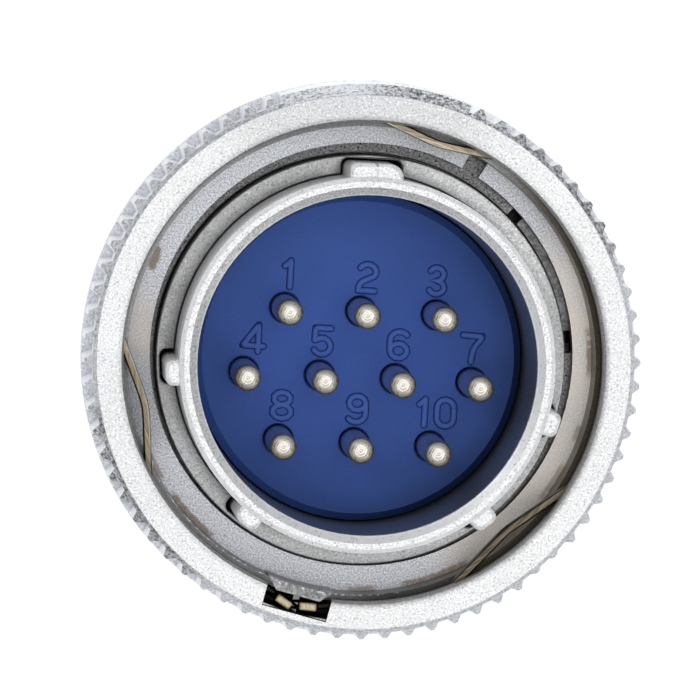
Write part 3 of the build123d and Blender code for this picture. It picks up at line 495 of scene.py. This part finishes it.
def ring_plating(name, finish):
    """The coupling ring: white front, painted shade on its inner edge, a cool painted reflection on the grip,
    and painted shade in the window in its lip.
    """
    look = Look(name)
    point = look.place()
    x, y, z = look.axes(point)
    facing = look.normal()[2]
    angle = look.angle_about_axis(x, y)
    radius = look.distance_from_axis(x, y)
    height, sparkle = blasted(look, point, finish.plating_grain, 0.13)
    rough = look.noise(point, 0.22 * MM, 4.0, 0.65)
    cloud = look.noise(point, 3.0 * MM, 3.0, 0.55)
    up = look.smooth(facing, 0.85, 0.97)
    shade = look.spread(cloud, 0.95, 1.0)

    # Painted shade darkens the lip's inner edge softly over its last bit, unevenly, and painted light and
    # shade change the front face by sector
    edge = look.under(radius + rough * 0.3 * MM, LIP_R + 0.14 * MM, LIP_R + 0.65 * MM)
    shade = shade * (1 - edge * up * look.sectors(angle, LIP_EDGE_PAINTED_SHADE, 0.3))
    shade = shade * look.sectors(angle, FACE_PAINTED_LIGHT)

    # Painted shade makes the ledge behind the strip smooth grey, and a painted highlight makes a bright
    # broken line along its front corner
    ledge = look.under(z, LEDGE_Z + 0.1 * MM, LEDGE_Z + 0.4 * MM)
    ledge = ledge * look.under(radius, LIP_R + 0.7 * MM, LIP_R + 0.8 * MM)
    line = look.under(radius, BORE_R + 0.05 * MM, BORE_R + 0.09 * MM)
    line = line * look.smooth(z, LEDGE_Z - 0.1 * MM, LEDGE_Z)
    glint = look.smooth(rough, 0.5, 0.62)
    shade = shade * (1 - ledge * look.sectors(angle, LEDGE_PAINTED_SHADE, 0.42))
    shade = shade + line * glint * look.sectors(angle, LEDGE_GLINTS, 0.0)

    # Outside, the grip takes a cooler painted reflection, painted shade makes its sloping front ends and the
    # chamfer rough and dark in some sectors, and painted light makes it brighter at the top
    outside = look.smooth(radius, FACE_EDGE_R, FACE_EDGE_R + 0.06 * MM)
    slope = look.between(facing, 0.2, 0.4, 0.85, 0.95) * outside
    dark = look.sectors(angle, GRIP_PAINTED_SHADE, 0.34)
    shade = shade * (1 - slope * dark * look.ramp(rough, 0.38, 0.58, 1.0, 0.35))
    top = outside * look.between(angle, *GRIP_TOP_PAINTED_LIGHT)
    shade = shade * (1 + top * look.ramp(rough, 0.32, 0.52, 0.1, 1.0))
    tint = look.blend(outside, finish.plating_color, finish.grip_painted_reflection_color)
    brown = ledge * look.sectors(angle, LEDGE_BROWNS, 0.0)
    tint = look.blend(brown, tint, LEDGE_COLOR)

    # Inside the window painted shade makes the walls nearly black and the boss between the strip's ends grey,
    # and painted light makes the front of its post lighter
    out, across = look.window_axes(x, y)
    below_face = look.under(z, RING_FRONT_Z - 0.12 * MM, RING_FRONT_Z - 0.05 * MM)
    window = look.within(across, *WINDOW_SHADE_HALF_WIDTH) * look.smooth(out, LIP_R - 0.06 * MM, LIP_R)
    window = window * look.under(radius, POCKET_R + 0.02 * MM, POCKET_R + 0.05 * MM) * below_face
    boss = look.within(across, *BOSS_SHADE_HALF_WIDTH) * look.smooth(out, *BOSS_SHADE_START_R) * up * below_face
    boss = boss * look.smooth(z, BOSS_FRONT_Z - 0.2 * MM, BOSS_FRONT_Z - 0.1 * MM)
    post = window * up * look.between(
        z, POST_FRONT_Z - 0.2 * MM, POST_FRONT_Z - 0.1 * MM, POST_FRONT_Z + 0.1 * MM, POST_FRONT_Z + 0.2 * MM)
    shade = shade * (1 - window * 0.94 * (1 - boss))
    shade = shade * (1 - boss * look.ramp(rough, 0.35, 0.65, 0.66, 0.25)) + post * 0.3
    return look.finish({
        "Base Color": look.times(tint, shade * sparkle),
        "Metallic": 1 - outside * 0.5 - top * 0.4,
        "Roughness": look.spread(height, *CAST_ROUGHNESS),
        "Normal": look.bump(height, CAST_RELIEF),
    })


def barrel_plating(name, finish):
    """The barrel shell: white rim, grey chamfer, walls made paler by painted light, and a floor behind the
    rings darkened by painted shade.
    """
    look = Look(name)
    point = look.place()
    x, y, z = look.axes(point)
    facing = look.normal()[2]
    radius = look.distance_from_axis(x, y)
    height, sparkle = blasted(look, point, finish.plating_grain, 0.15)
    coarse = look.noise(point, 0.22 * MM, 4.0, 0.65)
    cloud = look.noise(point, 3.0 * MM, 3.0, 0.55)
    up = look.smooth(facing, 0.85, 0.97)
    shade = look.spread(cloud, 0.95, 1.0)

    # Painted light makes the walls paler, painted shade darkens the flange behind the rings, and the stop lug
    # is dark and mottled
    rim = look.smooth(z, RIM_Z - 0.75 * MM, RIM_Z - 0.6 * MM)
    bore = look.under(radius, BORE_EDGE_R + 0.02 * MM, BORE_EDGE_R + 0.05 * MM) * (1 - rim)
    wall = look.under(facing, 0.1, 0.3) * (1 - bore)
    floor = look.under(z, FLANGE_Z + 0.15 * MM, FLANGE_Z + 0.4 * MM)
    floor = floor * look.smooth(radius, LUG_R - 0.05 * MM, LUG_R)
    lug = look.between(radius, LUG_R, LUG_R + 0.05 * MM, LUG_END_R, LUG_END_R + 0.05 * MM)
    lug = lug * look.smooth(z, FLANGE_Z, FLANGE_Z + 0.4 * MM)
    shade = shade * (1 + wall * 0.25) * (1 - floor * 0.86)
    shade = shade * (1 - lug * look.ramp(coarse, 0.38, 0.62, 0.85, 0.62))

    # Painted light brightens the rim's rounded outer edge all round and its inner chamfer mostly to the lower
    # right, and a painted highlight makes a bright line along the bore's edge
    slope = look.smooth(facing, 0.15, 0.35) * (1 - up) * rim
    outer = look.smooth(radius, RIM_MID_R, RIM_MID_R + 0.1 * MM)
    line = look.under(radius, BORE_EDGE_R + 0.05 * MM, BORE_EDGE_R + 0.1 * MM) * rim
    side = look.ramp(x - y, -10 * MM, 8 * MM)
    shade = shade + slope * (outer * 0.45 + (1 - outer) * (side * 0.75 + 0.1)) + line * 0.4
    # The bore's wall takes a warm painted shade
    tint = look.blend(bore, finish.plating_color, BORE_PAINTED_SHADE_COLOR)
    return look.finish({
        "Base Color": look.times(tint, shade * sparkle),
        "Metallic": 1 - slope * 0.8 - wall * (1 - floor) * 0.7,
        "Roughness": look.spread(height, *CAST_ROUGHNESS),
        "Normal": look.bump(height, CAST_RELIEF),
    })


def stamped_steel(name, color):
    """Flat spring steel with a faint rolled grain and small specks."""
    look = Look(name)
    point = look.place()
    fine = look.noise(point, 0.09 * MM, 3.0, 0.65)
    cloud = look.noise(point, 2.4 * MM, 4.0, 0.6)
    tint = look.blend(look.ramp(fine, 0.35, 0.62), toned(color, 0.72), color)
    tint = look.blend(look.ramp(cloud, 0.45, 0.75, 0.0, 0.35), tint, toned(color, 0.7))
    return look.finish({
        "Base Color": tint,
        "Metallic": 1.0,
        "Roughness": look.spread(fine, 0.46, 0.34),
        "Normal": look.bump(fine, 0.006 * MM),
    })


def stained_ring(name, finish):
    """The retaining ring: bluish speckled plating with a tan film, rust, brown spots, and painted light and
    shade round the axis.
    """
    look = Look(name)
    point = look.place()
    x, y, _ = look.axes(point)
    angle = look.angle_about_axis(x, y)
    radius = look.distance_from_axis(x, y)
    fine = look.noise(point, 0.1 * MM, 3.0, 0.65)
    wander = look.noise(point, 1.6 * MM, 4.0, 0.6)
    blot = look.noise(point, 0.35 * MM, 4.0, 0.7)
    blot_reach = blot * 0.3 * MM

    # A tan film to the right and to the left, thinner on the tops of the grain
    film = look.sectors(angle, TAN_SECTORS, 0.0) + look.under(angle, -180, -170) * 0.6
    film = look.ramp(wander, 0.3, 0.6, 0.6, 1.0) * film
    color = look.blend(
        look.ramp(fine, 0.36, 0.62), toned(finish.ring_color, 0.6), toned(finish.ring_color, 1.25))
    color = look.blend(film * look.ramp(fine, 0.35, 0.65, 1.0, 0.55), color, finish.tan_color)

    # Brown spots, and rust that runs along the outer line
    spots = sum(
        (look.under(look.distance_to(x, y, spot, away) + blot_reach, reach * 0.9, reach * 1.7)
         for spot, away, reach in STAIN_SPOTS), 0.0)
    outer = look.smooth(radius + blot_reach, *RUST_R)
    rust = look.sectors(angle, RUST_SECTORS, 0.0) * outer * look.smooth(blot, 0.34, 0.48) * 1.3
    stain = look.ramp(spots + rust, 0.0, 1.0)
    color = look.blend(stain * 0.7, color, finish.stain_color)
    # Painted light and shade change its tone round the axis
    return look.finish({
        "Base Color": look.times(color, look.sectors(angle, RETAINING_PAINTED_LIGHT)),
        "Metallic": look.ramp(stain, 0.0, 1.0, 1.0, 0.6),
        "Roughness": look.spread(fine, 0.5, 0.36),
        "Normal": look.bump(fine, 0.01 * MM),
    })


def spring_strip(name, finish):
    """Tempered strip: tan with olive streaks and painted light and shade, a painted glint on its inner edge,
    and golden tabs at its ends, painted brighter as lit faces.
    """
    look = Look(name)
    point = look.place()
    x, y, z = look.axes(point)
    normal_x, normal_y, facing = look.normal()
    radius = look.distance_from_axis(x, y)
    angle = look.angle_about_axis(x, y)
    outward = (normal_x * x + normal_y * y) / radius

    # The grain is drawn out along the strip, and so are the streaks on its front edge
    drawn_out = look.node("ShaderNodeMapping", {}, {"Vector": point, "Scale": (1.0, 1.0, 9.0)})
    rolled = look.noise(drawn_out, 0.5 * MM, 3.0, 0.6)
    along = look.node("ShaderNodeCombineXYZ", {}, {0: radius * 2.6, 1: angle * 0.03 * MM, 2: z})
    streak = look.noise(along, 0.22 * MM, 3.0, 0.6)
    color = look.blend(
        look.ramp(streak, 0.38, 0.62), toned(finish.strip_color, 0.45), toned(finish.strip_color, 1.2))
    # Painted light and shade change its tone round the axis
    color = look.times(color, look.sectors(angle, STRIP_PAINTED_LIGHT, 0.75))

    # A painted glint lies on the rounded inner edge in some sectors, and painted shade darkens both flat
    # sides
    inward = look.smooth(0 - outward, 0.1, 0.3) * look.smooth(facing, 0.12, 0.22)
    front = look.smooth(facing, 0.5, 0.62)
    glint = look.sectors(angle, STRIP_GLINTS, 0.0)
    color = look.blend(inward * front * glint, color, GLINT_COLOR)
    color = look.times(color, 1 - inward * (1 - front) * 0.9)
    color = look.times(color, 1 - look.smooth(outward, 0.1, 0.3) * 0.75)

    # Golden tabs, painted brighter as lit faces, and painted shade on the ends of the strip below them
    tab = look.smooth(z, TAB_Z - 0.35 * MM, TAB_Z - 0.25 * MM)
    flecks = look.ramp(look.noise(point, 0.3 * MM, 4.0, 0.7), 0.35, 0.55, 0.55, 1.0)
    color = look.blend(tab, color, look.times(as_color(finish.tab_lit_color), flecks))
    out, across = look.window_axes(x, y)
    # Painted shade on the ends of the strip in the window
    ends = look.within(across, *STRIP_END_SHADE_HALF_WIDTH) * look.smooth(out, 0.0, 1.0 * MM) * (1 - tab)
    return look.finish({
        "Base Color": look.times(color, 1 - ends * 0.9),
        "Metallic": 1 - tab * 0.75,
        "Roughness": look.spread(rolled, 0.44, 0.28),
        "Normal": look.bump(rolled, 0.006 * MM),
    })


def drawn_wire(name, finish):
    """Bright drawn wire with fine lines and a little oil."""
    look = Look(name)
    drawn_out = look.node("ShaderNodeMapping", {}, {"Vector": look.place(), "Scale": (1.0, 1.0, 6.0)})
    lines = look.noise(drawn_out, 0.3 * MM, 4.0, 0.6)
    return look.finish({
        "Base Color": look.blend(
            look.spread(lines, 0.0, 1.0), toned(finish.ring_color, 0.6), toned(finish.ring_color, 1.1)),
        "Metallic": 1.0,
        "Roughness": look.spread(lines, 0.36, 0.2),
        "Normal": look.bump(lines, 0.005 * MM),
    })


def moulded_plastic(name, finish):
    """Matte moulded insulator with a fine skin, slow changes of tone, a painted shadow towards its right
    edge, and painted light and shade on its edge's slope.
    """
    look = Look(name)
    point = look.place()
    skin = look.noise(point, 0.14 * MM, 3.0, 0.6)
    flow = look.noise(point, 5.0 * MM, 3.0, 0.5)
    x, y, _ = look.axes(point)
    facing = look.normal()[2]
    radius = look.distance_from_axis(x, y)
    color = look.blend(
        look.ramp(flow, 0.35, 0.7), toned(finish.insulator_color, 0.9), finish.insulator_color)
    color = look.blend(look.ramp(skin, 0.4, 0.7, 0.0, 0.2), color, MOULD_SKIN_COLOR)
    # Painted shadow of the rim darkens the right side, more so near the edge; the edge's slope is painted
    # lighter to the left and darker to the right
    right = look.ramp(x - y * 0.6, -6 * MM, 9 * MM)
    edge_shadow_reach = look.smooth(radius, 7.6 * MM, 9.5 * MM)
    shade = 1.25 - right * 0.18 - edge_shadow_reach * right * 0.4
    slope = look.between(facing, 0.3, 0.5, 0.93, 0.97) * look.smooth(radius, FACE_R, FACE_R + 0.2 * MM)
    shade = shade + slope * (0.95 - right * 1.15)
    return look.finish({
        "Base Color": look.times(color, shade),
        "Roughness": look.spread(skin, 0.6, 0.5),
        "Specular IOR Level": 0.25,
        "Normal": look.bump(skin, 0.004 * MM),
    })


def moulded_digit(name, finish):
    """The raised digits: the insulator's plastic, with painted shade on their steep sides and painted light
    on their crowns.
    """
    look = Look(name)
    skin = look.noise(look.place(), 0.14 * MM, 3.0, 0.6)
    # Painted light on the crowns and painted shade on the steep sides
    lit_crown = look.smooth(look.normal()[2], 0.55, 0.92)
    color = look.blend(
        lit_crown, toned(finish.insulator_color, 0.2), toned(finish.insulator_color, 1.25))
    return look.finish({
        "Base Color": look.blend(look.ramp(skin, 0.4, 0.7, 0.0, 0.2), color, MOULD_SKIN_COLOR),
        "Roughness": look.spread(skin, 0.5, 0.4),
        "Specular IOR Level": 0.4,
        "Normal": look.bump(skin, 0.004 * MM),
    })


def turned_contact(name, finish, center):
    """Plated contact: a bright end with the turning tool's rings and a pip, tan towards its edge, and sides
    in painted shade with a faint bluish painted reflection.
    """
    look = Look(name)
    point = look.place(center)
    x, y, z = look.axes(point)
    radius = look.distance_from_axis(x, y)
    wobble = look.noise(point, 0.35 * MM, 2.0, 0.5)
    scratch = look.noise(point, 0.2 * MM, 4.0, 0.75)
    patch = look.noise(point, 0.45 * MM, 3.0, 0.6)
    wave = look.node("ShaderNodeMath", {"operation": "SINE"}, {0: (radius / MM + wobble * 0.14) * 46.0})
    rings = wave * 0.5 + 0.5
    mark = rings * look.smooth(patch, 0.46, 0.6) * look.ramp(radius, 0.1 * MM, 0.3 * MM, 0.4, 1.0)
    pip = look.between(radius + wobble * 0.05 * MM, 0.05 * MM, 0.09 * MM, 0.11 * MM, 0.15 * MM)
    end = look.smooth(z, -0.6 * MM, -0.35 * MM)
    edge = look.smooth(radius + scratch * 0.3 * MM, 0.76 * MM, 0.98 * MM)
    color = look.blend(
        look.ramp(scratch, 0.35, 0.65), toned(finish.contact_color, 0.7), finish.contact_color)
    color = look.blend(edge * 0.95, color, CONTACT_EDGE_COLOR)
    color = look.blend(look.ramp(mark + pip * 0.5, 0.2, 0.8, 0.0, 0.8), color, CONTACT_MARK_COLOR)
    # The sides take painted shade with a faint bluish painted reflection
    return look.finish({
        "Base Color": look.blend(end, CONTACT_SIDE_PAINTED_SHADE_COLOR, color),
        "Metallic": 1 - end * (1 - edge) * 0.3,
        "Roughness": look.spread(scratch, 0.42, 0.26),
        "Normal": look.bump(rings * 0.4 + scratch * 0.6, 0.01 * MM),
    })


def moulded_rubber(name, finish):
    """Black rubber with a dusty, slightly rough skin."""
    look = Look(name)
    point = look.place()
    skin = look.noise(point, 0.16 * MM, 4.0, 0.6)
    dust = look.noise(point, 2.0 * MM, 4.0, 0.6)
    return look.finish({
        "Base Color": look.blend(
            look.ramp(dust, 0.45, 0.75, 0.0, 0.5), finish.rubber_color, DUST_COLOR),
        "Roughness": look.spread(skin, 0.75, 0.6),
        "Normal": look.bump(skin, 0.02 * MM),
    })


def pale_floor(name, color, glow):
    """Pale paper floor with a faint tooth."""
    look = Look(name)
    tooth = look.noise(look.place(), 0.8 * MM, 3.0, 0.6)
    return look.finish({
        "Base Color": look.blend(look.spread(tooth, 0.0, 1.0), toned(color, 0.985), color),
        "Roughness": 0.9,
        "Specular IOR Level": 0.1,
        "Emission Color": as_color(color),
        "Emission Strength": glow,
        "Normal": look.bump(tooth, 0.01 * MM),
    })


def coat(node, material):
    """Gives a CAD node one material."""
    slots = NODES[node].data.materials
    slots.clear()
    slots.append(material)


def soften(node, width, segments):
    """Joins a CAD node's loose triangles and rounds its sharp edges by this much."""
    weld = NODES[node].modifiers.new("joined_corners", "WELD")
    weld.merge_threshold = JOIN_DISTANCE
    edge = NODES[node].modifiers.new("rounded_edge", "BEVEL")
    edge.width = width
    edge.segments = segments
    edge.angle_limit = SHARP_ANGLE
    edge.use_clamp_overlap = False
    edge.loop_slide = False
    NODES[node].modifiers.new("even_normals", "WEIGHTED_NORMAL")


# Modelling helpers


def only(obj):
    """Selects this object alone and makes it active."""
    bpy.ops.object.select_all(action="DESELECT")
    obj.select_set(True)
    bpy.context.view_layer.objects.active = obj


def settle(obj):
    """Moves the object's place, turn and scale into its mesh."""
    only(obj)
    bpy.ops.object.transform_apply(location=True, rotation=True, scale=True)


ARC_STEPS = 10


def arc(center, radius, start, end, squeeze=1.0):
    """Points along an arc, in degrees, squeezed in height."""
    points = []
    for step in range(ARC_STEPS + 1):
        a = math.radians(start + (end - start) * step / ARC_STEPS)
        points.append((center[0] + radius * math.cos(a), center[1] + radius * squeeze * math.sin(a)))
    return points


# Strokes of the digits in a box 1 high and 0.64 wide, from its lower left corner. Each stroke is a
# row of points. The 4 and the 7 reach a little past the box
DIGIT_WIDTH = 0.64
DIGIT_GAP = 0.24
DIGITS = {
    "0": [arc((0.32, 0.7), 0.32, 0, 180, 0.94) + arc((0.32, 0.3), 0.32, 180, 360, 0.94) + [(0.64, 0.7)]],
    "1": [[(0.2, 0.79), (0.42, 0.97)], [(0.42, 1.0), (0.41, 0.0)]],
    "2": [
        arc((0.33, 0.72), 0.32, 150, -40, 0.88) + arc((0.36, 0.02), 0.36, 115, 180, 1.1),
        [(0.0, 0.0), (0.62, 0.0)],
    ],
    "3": [
        arc((0.3, 0.75), 0.27, 150, -80, 0.93)
        + [(0.16, 0.5), (0.34, 0.5)]
        + arc((0.3, 0.25), 0.29, 80, -155, 0.87),
    ],
    "4": [[(0.57, 0.0), (0.57, 1.0)], [(0.57, 1.0), (0.0, 0.22)], [(0.0, 0.22), (0.78, 0.2)]],
    "5": [
        [(0.62, 1.0), (0.04, 1.0)],
        [(0.04, 1.0), (0.02, 0.54)],
        arc((0.3, 0.32), 0.33, 130, -150, 0.95),
    ],
    "6": [arc((0.36, 0.68), 0.36, 40, 180, 0.9) + arc((0.33, 0.28), 0.33, 180, 530, 0.86)],
    "7": [
        [(0.0, 1.0), (0.72, 0.97)],
        [(0.72, 0.97), (0.68, 0.84), (0.5, 0.64), (0.38, 0.38), (0.33, 0.0)],
    ],
    "8": [arc((0.34, 0.76), 0.32, -90, 270, 0.75) + arc((0.34, 0.26), 0.36, 90, -270, 0.73)],
    "9": [arc((0.28, 0.32), 0.36, 220, 360, 0.9) + arc((0.32, 0.72), 0.32, 0, 350, 0.86)],
}

# Sideways shift of a number from the middle of its contact, and of those that aren't listed
NUMBER_SHIFTS = {"2": 0.3 * MM, "3": -0.05 * MM, "4": 0.4 * MM, "7": -0.08 * MM, "10": 0.15 * MM}
USUAL_SHIFT = 0.1 * MM


class PLUG_OT_castings(bpy.types.Operator):
    """Gives the plated castings and turned parts their finish"""

    bl_idname = "plug.castings"
    bl_label = "Finish Castings"

    def execute(self, context):
        finish = context.scene.plug_finish
        coat("coupling_ring", ring_plating("ring_plating", finish))
        coat("barrel_shell", barrel_plating("barrel_plating", finish))
        body = plating("body_plating", finish, tone=1.0)
        coat("end_bell", body)
        coat("clamp_nut", body)
        # The push ring and the stop ring take painted light and shade by sector
        coat("push_ring", plating(
            "push_ring_plating", finish, tone=0.54, contrast=0.16, relief=0.012 * MM, stops=PUSH_RING_PAINTED_LIGHT))
        soften("push_ring", 0.07 * MM, 3)
        coat("stop_ring", plating(
            "stop_ring_plating", finish, tone=0.24, contrast=0.4, relief=0.014 * MM, stops=STOP_RING_PAINTED_LIGHT))
        return {"FINISHED"}


class PLUG_OT_steel(bpy.types.Operator):
    """Gives the rings, washers and springs their steel finishes"""

    bl_idname = "plug.steel"
    bl_label = "Finish Steel Parts"

    def execute(self, context):
        finish = context.scene.plug_finish
        coat("retaining_ring", stained_ring("stained_ring_steel", finish))
        coat("lock_spring", spring_strip("tempered_strip", finish))
        soften("lock_spring", 0.11 * MM, 4)
        wire = drawn_wire("drawn_wire", finish)
        coat("push_spring", wire)
        coat("return_spring", wire)
        washer = stamped_steel("washer_steel", finish.ring_color)
        for node in ("seat_washer", "slip_washer", "insulator_circlip"):
            coat(node, washer)
        return {"FINISHED"}


class PLUG_OT_insulators(bpy.types.Operator):
    """Gives the insulators, seals and bushing their finishes"""

    bl_idname = "plug.insulators"
    bl_label = "Finish Insulators"

    def execute(self, context):
        finish = context.scene.plug_finish
        plastic = moulded_plastic("moulded_insulator", finish)
        coat("front_insulator", plastic)
        coat("rear_insulator", plastic)
        rubber = moulded_rubber("black_rubber", finish)
        for node in ("insulator_gasket", "shell_seal", "cable_bushing"):
            coat(node, rubber)
        return {"FINISHED"}


class PLUG_OT_contacts(bpy.types.Operator):
    """Gives each contact its turned finish, centred on its own axis"""

    bl_idname = "plug.contacts"
    bl_label = "Finish Contacts"

    def execute(self, context):
        finish = context.scene.plug_finish
        for node in PIN_NODES:
            center = middle(node)
            coat(node, turned_contact(f"turned_{node}", finish, (center.x, center.y, PIN_TIP_Z)))
        return {"FINISHED"}


class PLUG_OT_numbers(bpy.types.Operator):
    """Raises each contact's number on the insulator's face"""

    bl_idname = "plug.numbers"
    bl_label = "Add Contact Numbers"

    def execute(self, context):
        numbers = context.scene.plug_numbers
        made = []
        for node in PIN_NODES:
            text = node.rsplit("_", 1)[1]
            center = middle(node)
            step = (DIGIT_WIDTH + DIGIT_GAP) * numbers.height
            start = center.x - (len(text) - 1) * step / 2
            shift = NUMBER_SHIFTS.get(text, USUAL_SHIFT)
            for place, digit in enumerate(text):
                spot = Vector((start + place * step + shift, center.y + numbers.rise, FACE_Z))
                made.append(self.digit(f"number_{text}_{place}", DIGITS[digit], spot, numbers))
        bpy.ops.object.select_all(action="DESELECT")
        for obj in made:
            obj.select_set(True)
        context.view_layer.objects.active = made[0]
        bpy.ops.object.join()
        raised = context.view_layer.objects.active
        raised.name = "contact_numbers"
        settle(raised)
        bpy.ops.object.shade_smooth()
        raised.data.materials.clear()
        raised.data.materials.append(moulded_digit("moulded_digits", context.scene.plug_finish))
        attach(raised, "plug")
        return {"FINISHED"}

    def digit(self, name, lines, spot, numbers):
        """One digit as half-sunk round beads along its strokes."""
        lines = [
            [((x - DIGIT_WIDTH / 2) * numbers.height, (y - 0.5) * numbers.height, 0) for x, y in line]
            for line in lines]
        curve = bpy.data.curves.new(name, "CURVE")
        curve.dimensions = "3D"
        curve.bevel_depth = numbers.stroke / 2
        curve.bevel_resolution = 4
        curve.use_fill_caps = True
        for line in lines:
            spline = curve.splines.new("POLY")
            spline.points.add(len(line) - 1)
            for point, place in zip(spline.points, line):
                point.co = (*place, 1)
        bead = bpy.data.objects.new(name, curve)
        bpy.context.scene.collection.objects.link(bead)
        only(bead)
        bpy.ops.object.convert(target="MESH")
        bead = bpy.context.view_layer.objects.active
        # A ball closes each end of each stroke
        ends = [line[i] for line in lines for i in (0, -1)]
        for place in ends:
            bpy.ops.mesh.primitive_uv_sphere_add(
                segments=12, ring_count=8, radius=numbers.stroke / 2, location=place)
            cap = bpy.context.view_layer.objects.active
            bead.select_set(True)
            cap.select_set(True)
            bpy.context.view_layer.objects.active = bead
            bpy.ops.object.join()
        bead.scale = (1, 1, numbers.relief / (numbers.stroke / 2))
        bead.location = spot
        settle(bead)
        return bead


class PLUG_OT_stage(bpy.types.Operator):
    """Adds the pale floor, the soft lights and the camera"""

    bl_idname = "plug.stage"
    bl_label = "Add Stage"

    def execute(self, context):
        stage = context.scene.plug_stage
        bpy.ops.object.select_all(action="DESELECT")
        bpy.ops.mesh.primitive_plane_add(size=FLOOR_SIZE, location=(0, 0, FLOOR_Z))
        floor = context.view_layer.objects.active
        floor.name = "floor"
        settle(floor)
        floor.data.materials.append(pale_floor("pale_floor", stage.floor_color, stage.floor_glow))
        for name, place, size, share in SOFTBOXES:
            self.softbox(name, place, size, stage.softbox_power * share)
        world = bpy.data.worlds.new("soft_studio")
        world.use_nodes = True
        background = world.node_tree.nodes["Background"]
        background.inputs["Color"].default_value = (0.93, 0.96, 1.0, 1.0)
        background.inputs["Strength"].default_value = stage.sky
        context.scene.world = world
        context.scene.view_settings.view_transform = "Standard"
        camera_data = bpy.data.cameras.new("camera")
        camera_data.lens = stage.lens
        camera_data.sensor_width = 36.0
        camera_data.clip_start = 0.01
        camera_data.clip_end = 10.0
        camera = bpy.data.objects.new("camera", camera_data)
        context.scene.collection.objects.link(camera)
        camera.location = stage.camera_place
        camera.rotation_euler = Euler(stage.camera_turn)
        context.scene.camera = camera
        return {"FINISHED"}

    def softbox(self, name, place, size, power):
        """An area light aimed at the plug."""
        light = bpy.data.lights.new(name, "AREA")
        light.shape = "SQUARE"
        light.size = size
        light.energy = power
        box = bpy.data.objects.new(name, light)
        bpy.context.scene.collection.objects.link(box)
        box.location = place
        aim = LIGHT_TARGET - Vector(place)
        box.rotation_euler = aim.to_track_quat("-Z", "Y").to_euler()


class PLUG_PT_panel(bpy.types.Panel):
    """Lists the plug's steps and settings"""

    bl_idname = "PLUG_PT_panel"
    bl_label = "Circular Cable Plug"
    bl_space_type = "VIEW_3D"
    bl_region_type = "UI"
    bl_category = "Plug"

    def draw(self, context):
        layout = self.layout
        for group in (context.scene.plug_finish, context.scene.plug_numbers, context.scene.plug_stage):
            box = layout.box()
            for name in group.__annotations__:
                box.prop(group, name)
        for operator in OPERATORS:
            layout.operator(operator.bl_idname)


GROUPS = (PlugFinish, PlugNumbers, PlugStage)
OPERATORS = (
    PLUG_OT_castings,
    PLUG_OT_steel,
    PLUG_OT_insulators,
    PLUG_OT_contacts,
    PLUG_OT_numbers,
    PLUG_OT_stage,
)


def register():
    for item in GROUPS + OPERATORS + (PLUG_PT_panel,):
        bpy.utils.register_class(item)
    bpy.types.Scene.plug_finish = bpy.props.PointerProperty(type=PlugFinish)
    bpy.types.Scene.plug_numbers = bpy.props.PointerProperty(type=PlugNumbers)
    bpy.types.Scene.plug_stage = bpy.props.PointerProperty(type=PlugStage)


def unregister():
    del bpy.types.Scene.plug_stage
    del bpy.types.Scene.plug_numbers
    del bpy.types.Scene.plug_finish
    for item in reversed(GROUPS + OPERATORS + (PLUG_PT_panel,)):
        bpy.utils.unregister_class(item)


def main():
    register()
    bpy.ops.plug.castings()
    bpy.ops.plug.steel()
    bpy.ops.plug.insulators()
    bpy.ops.plug.contacts()
    bpy.ops.plug.numbers()
    bpy.ops.plug.stage()


if __name__ == "__main__":
    main()
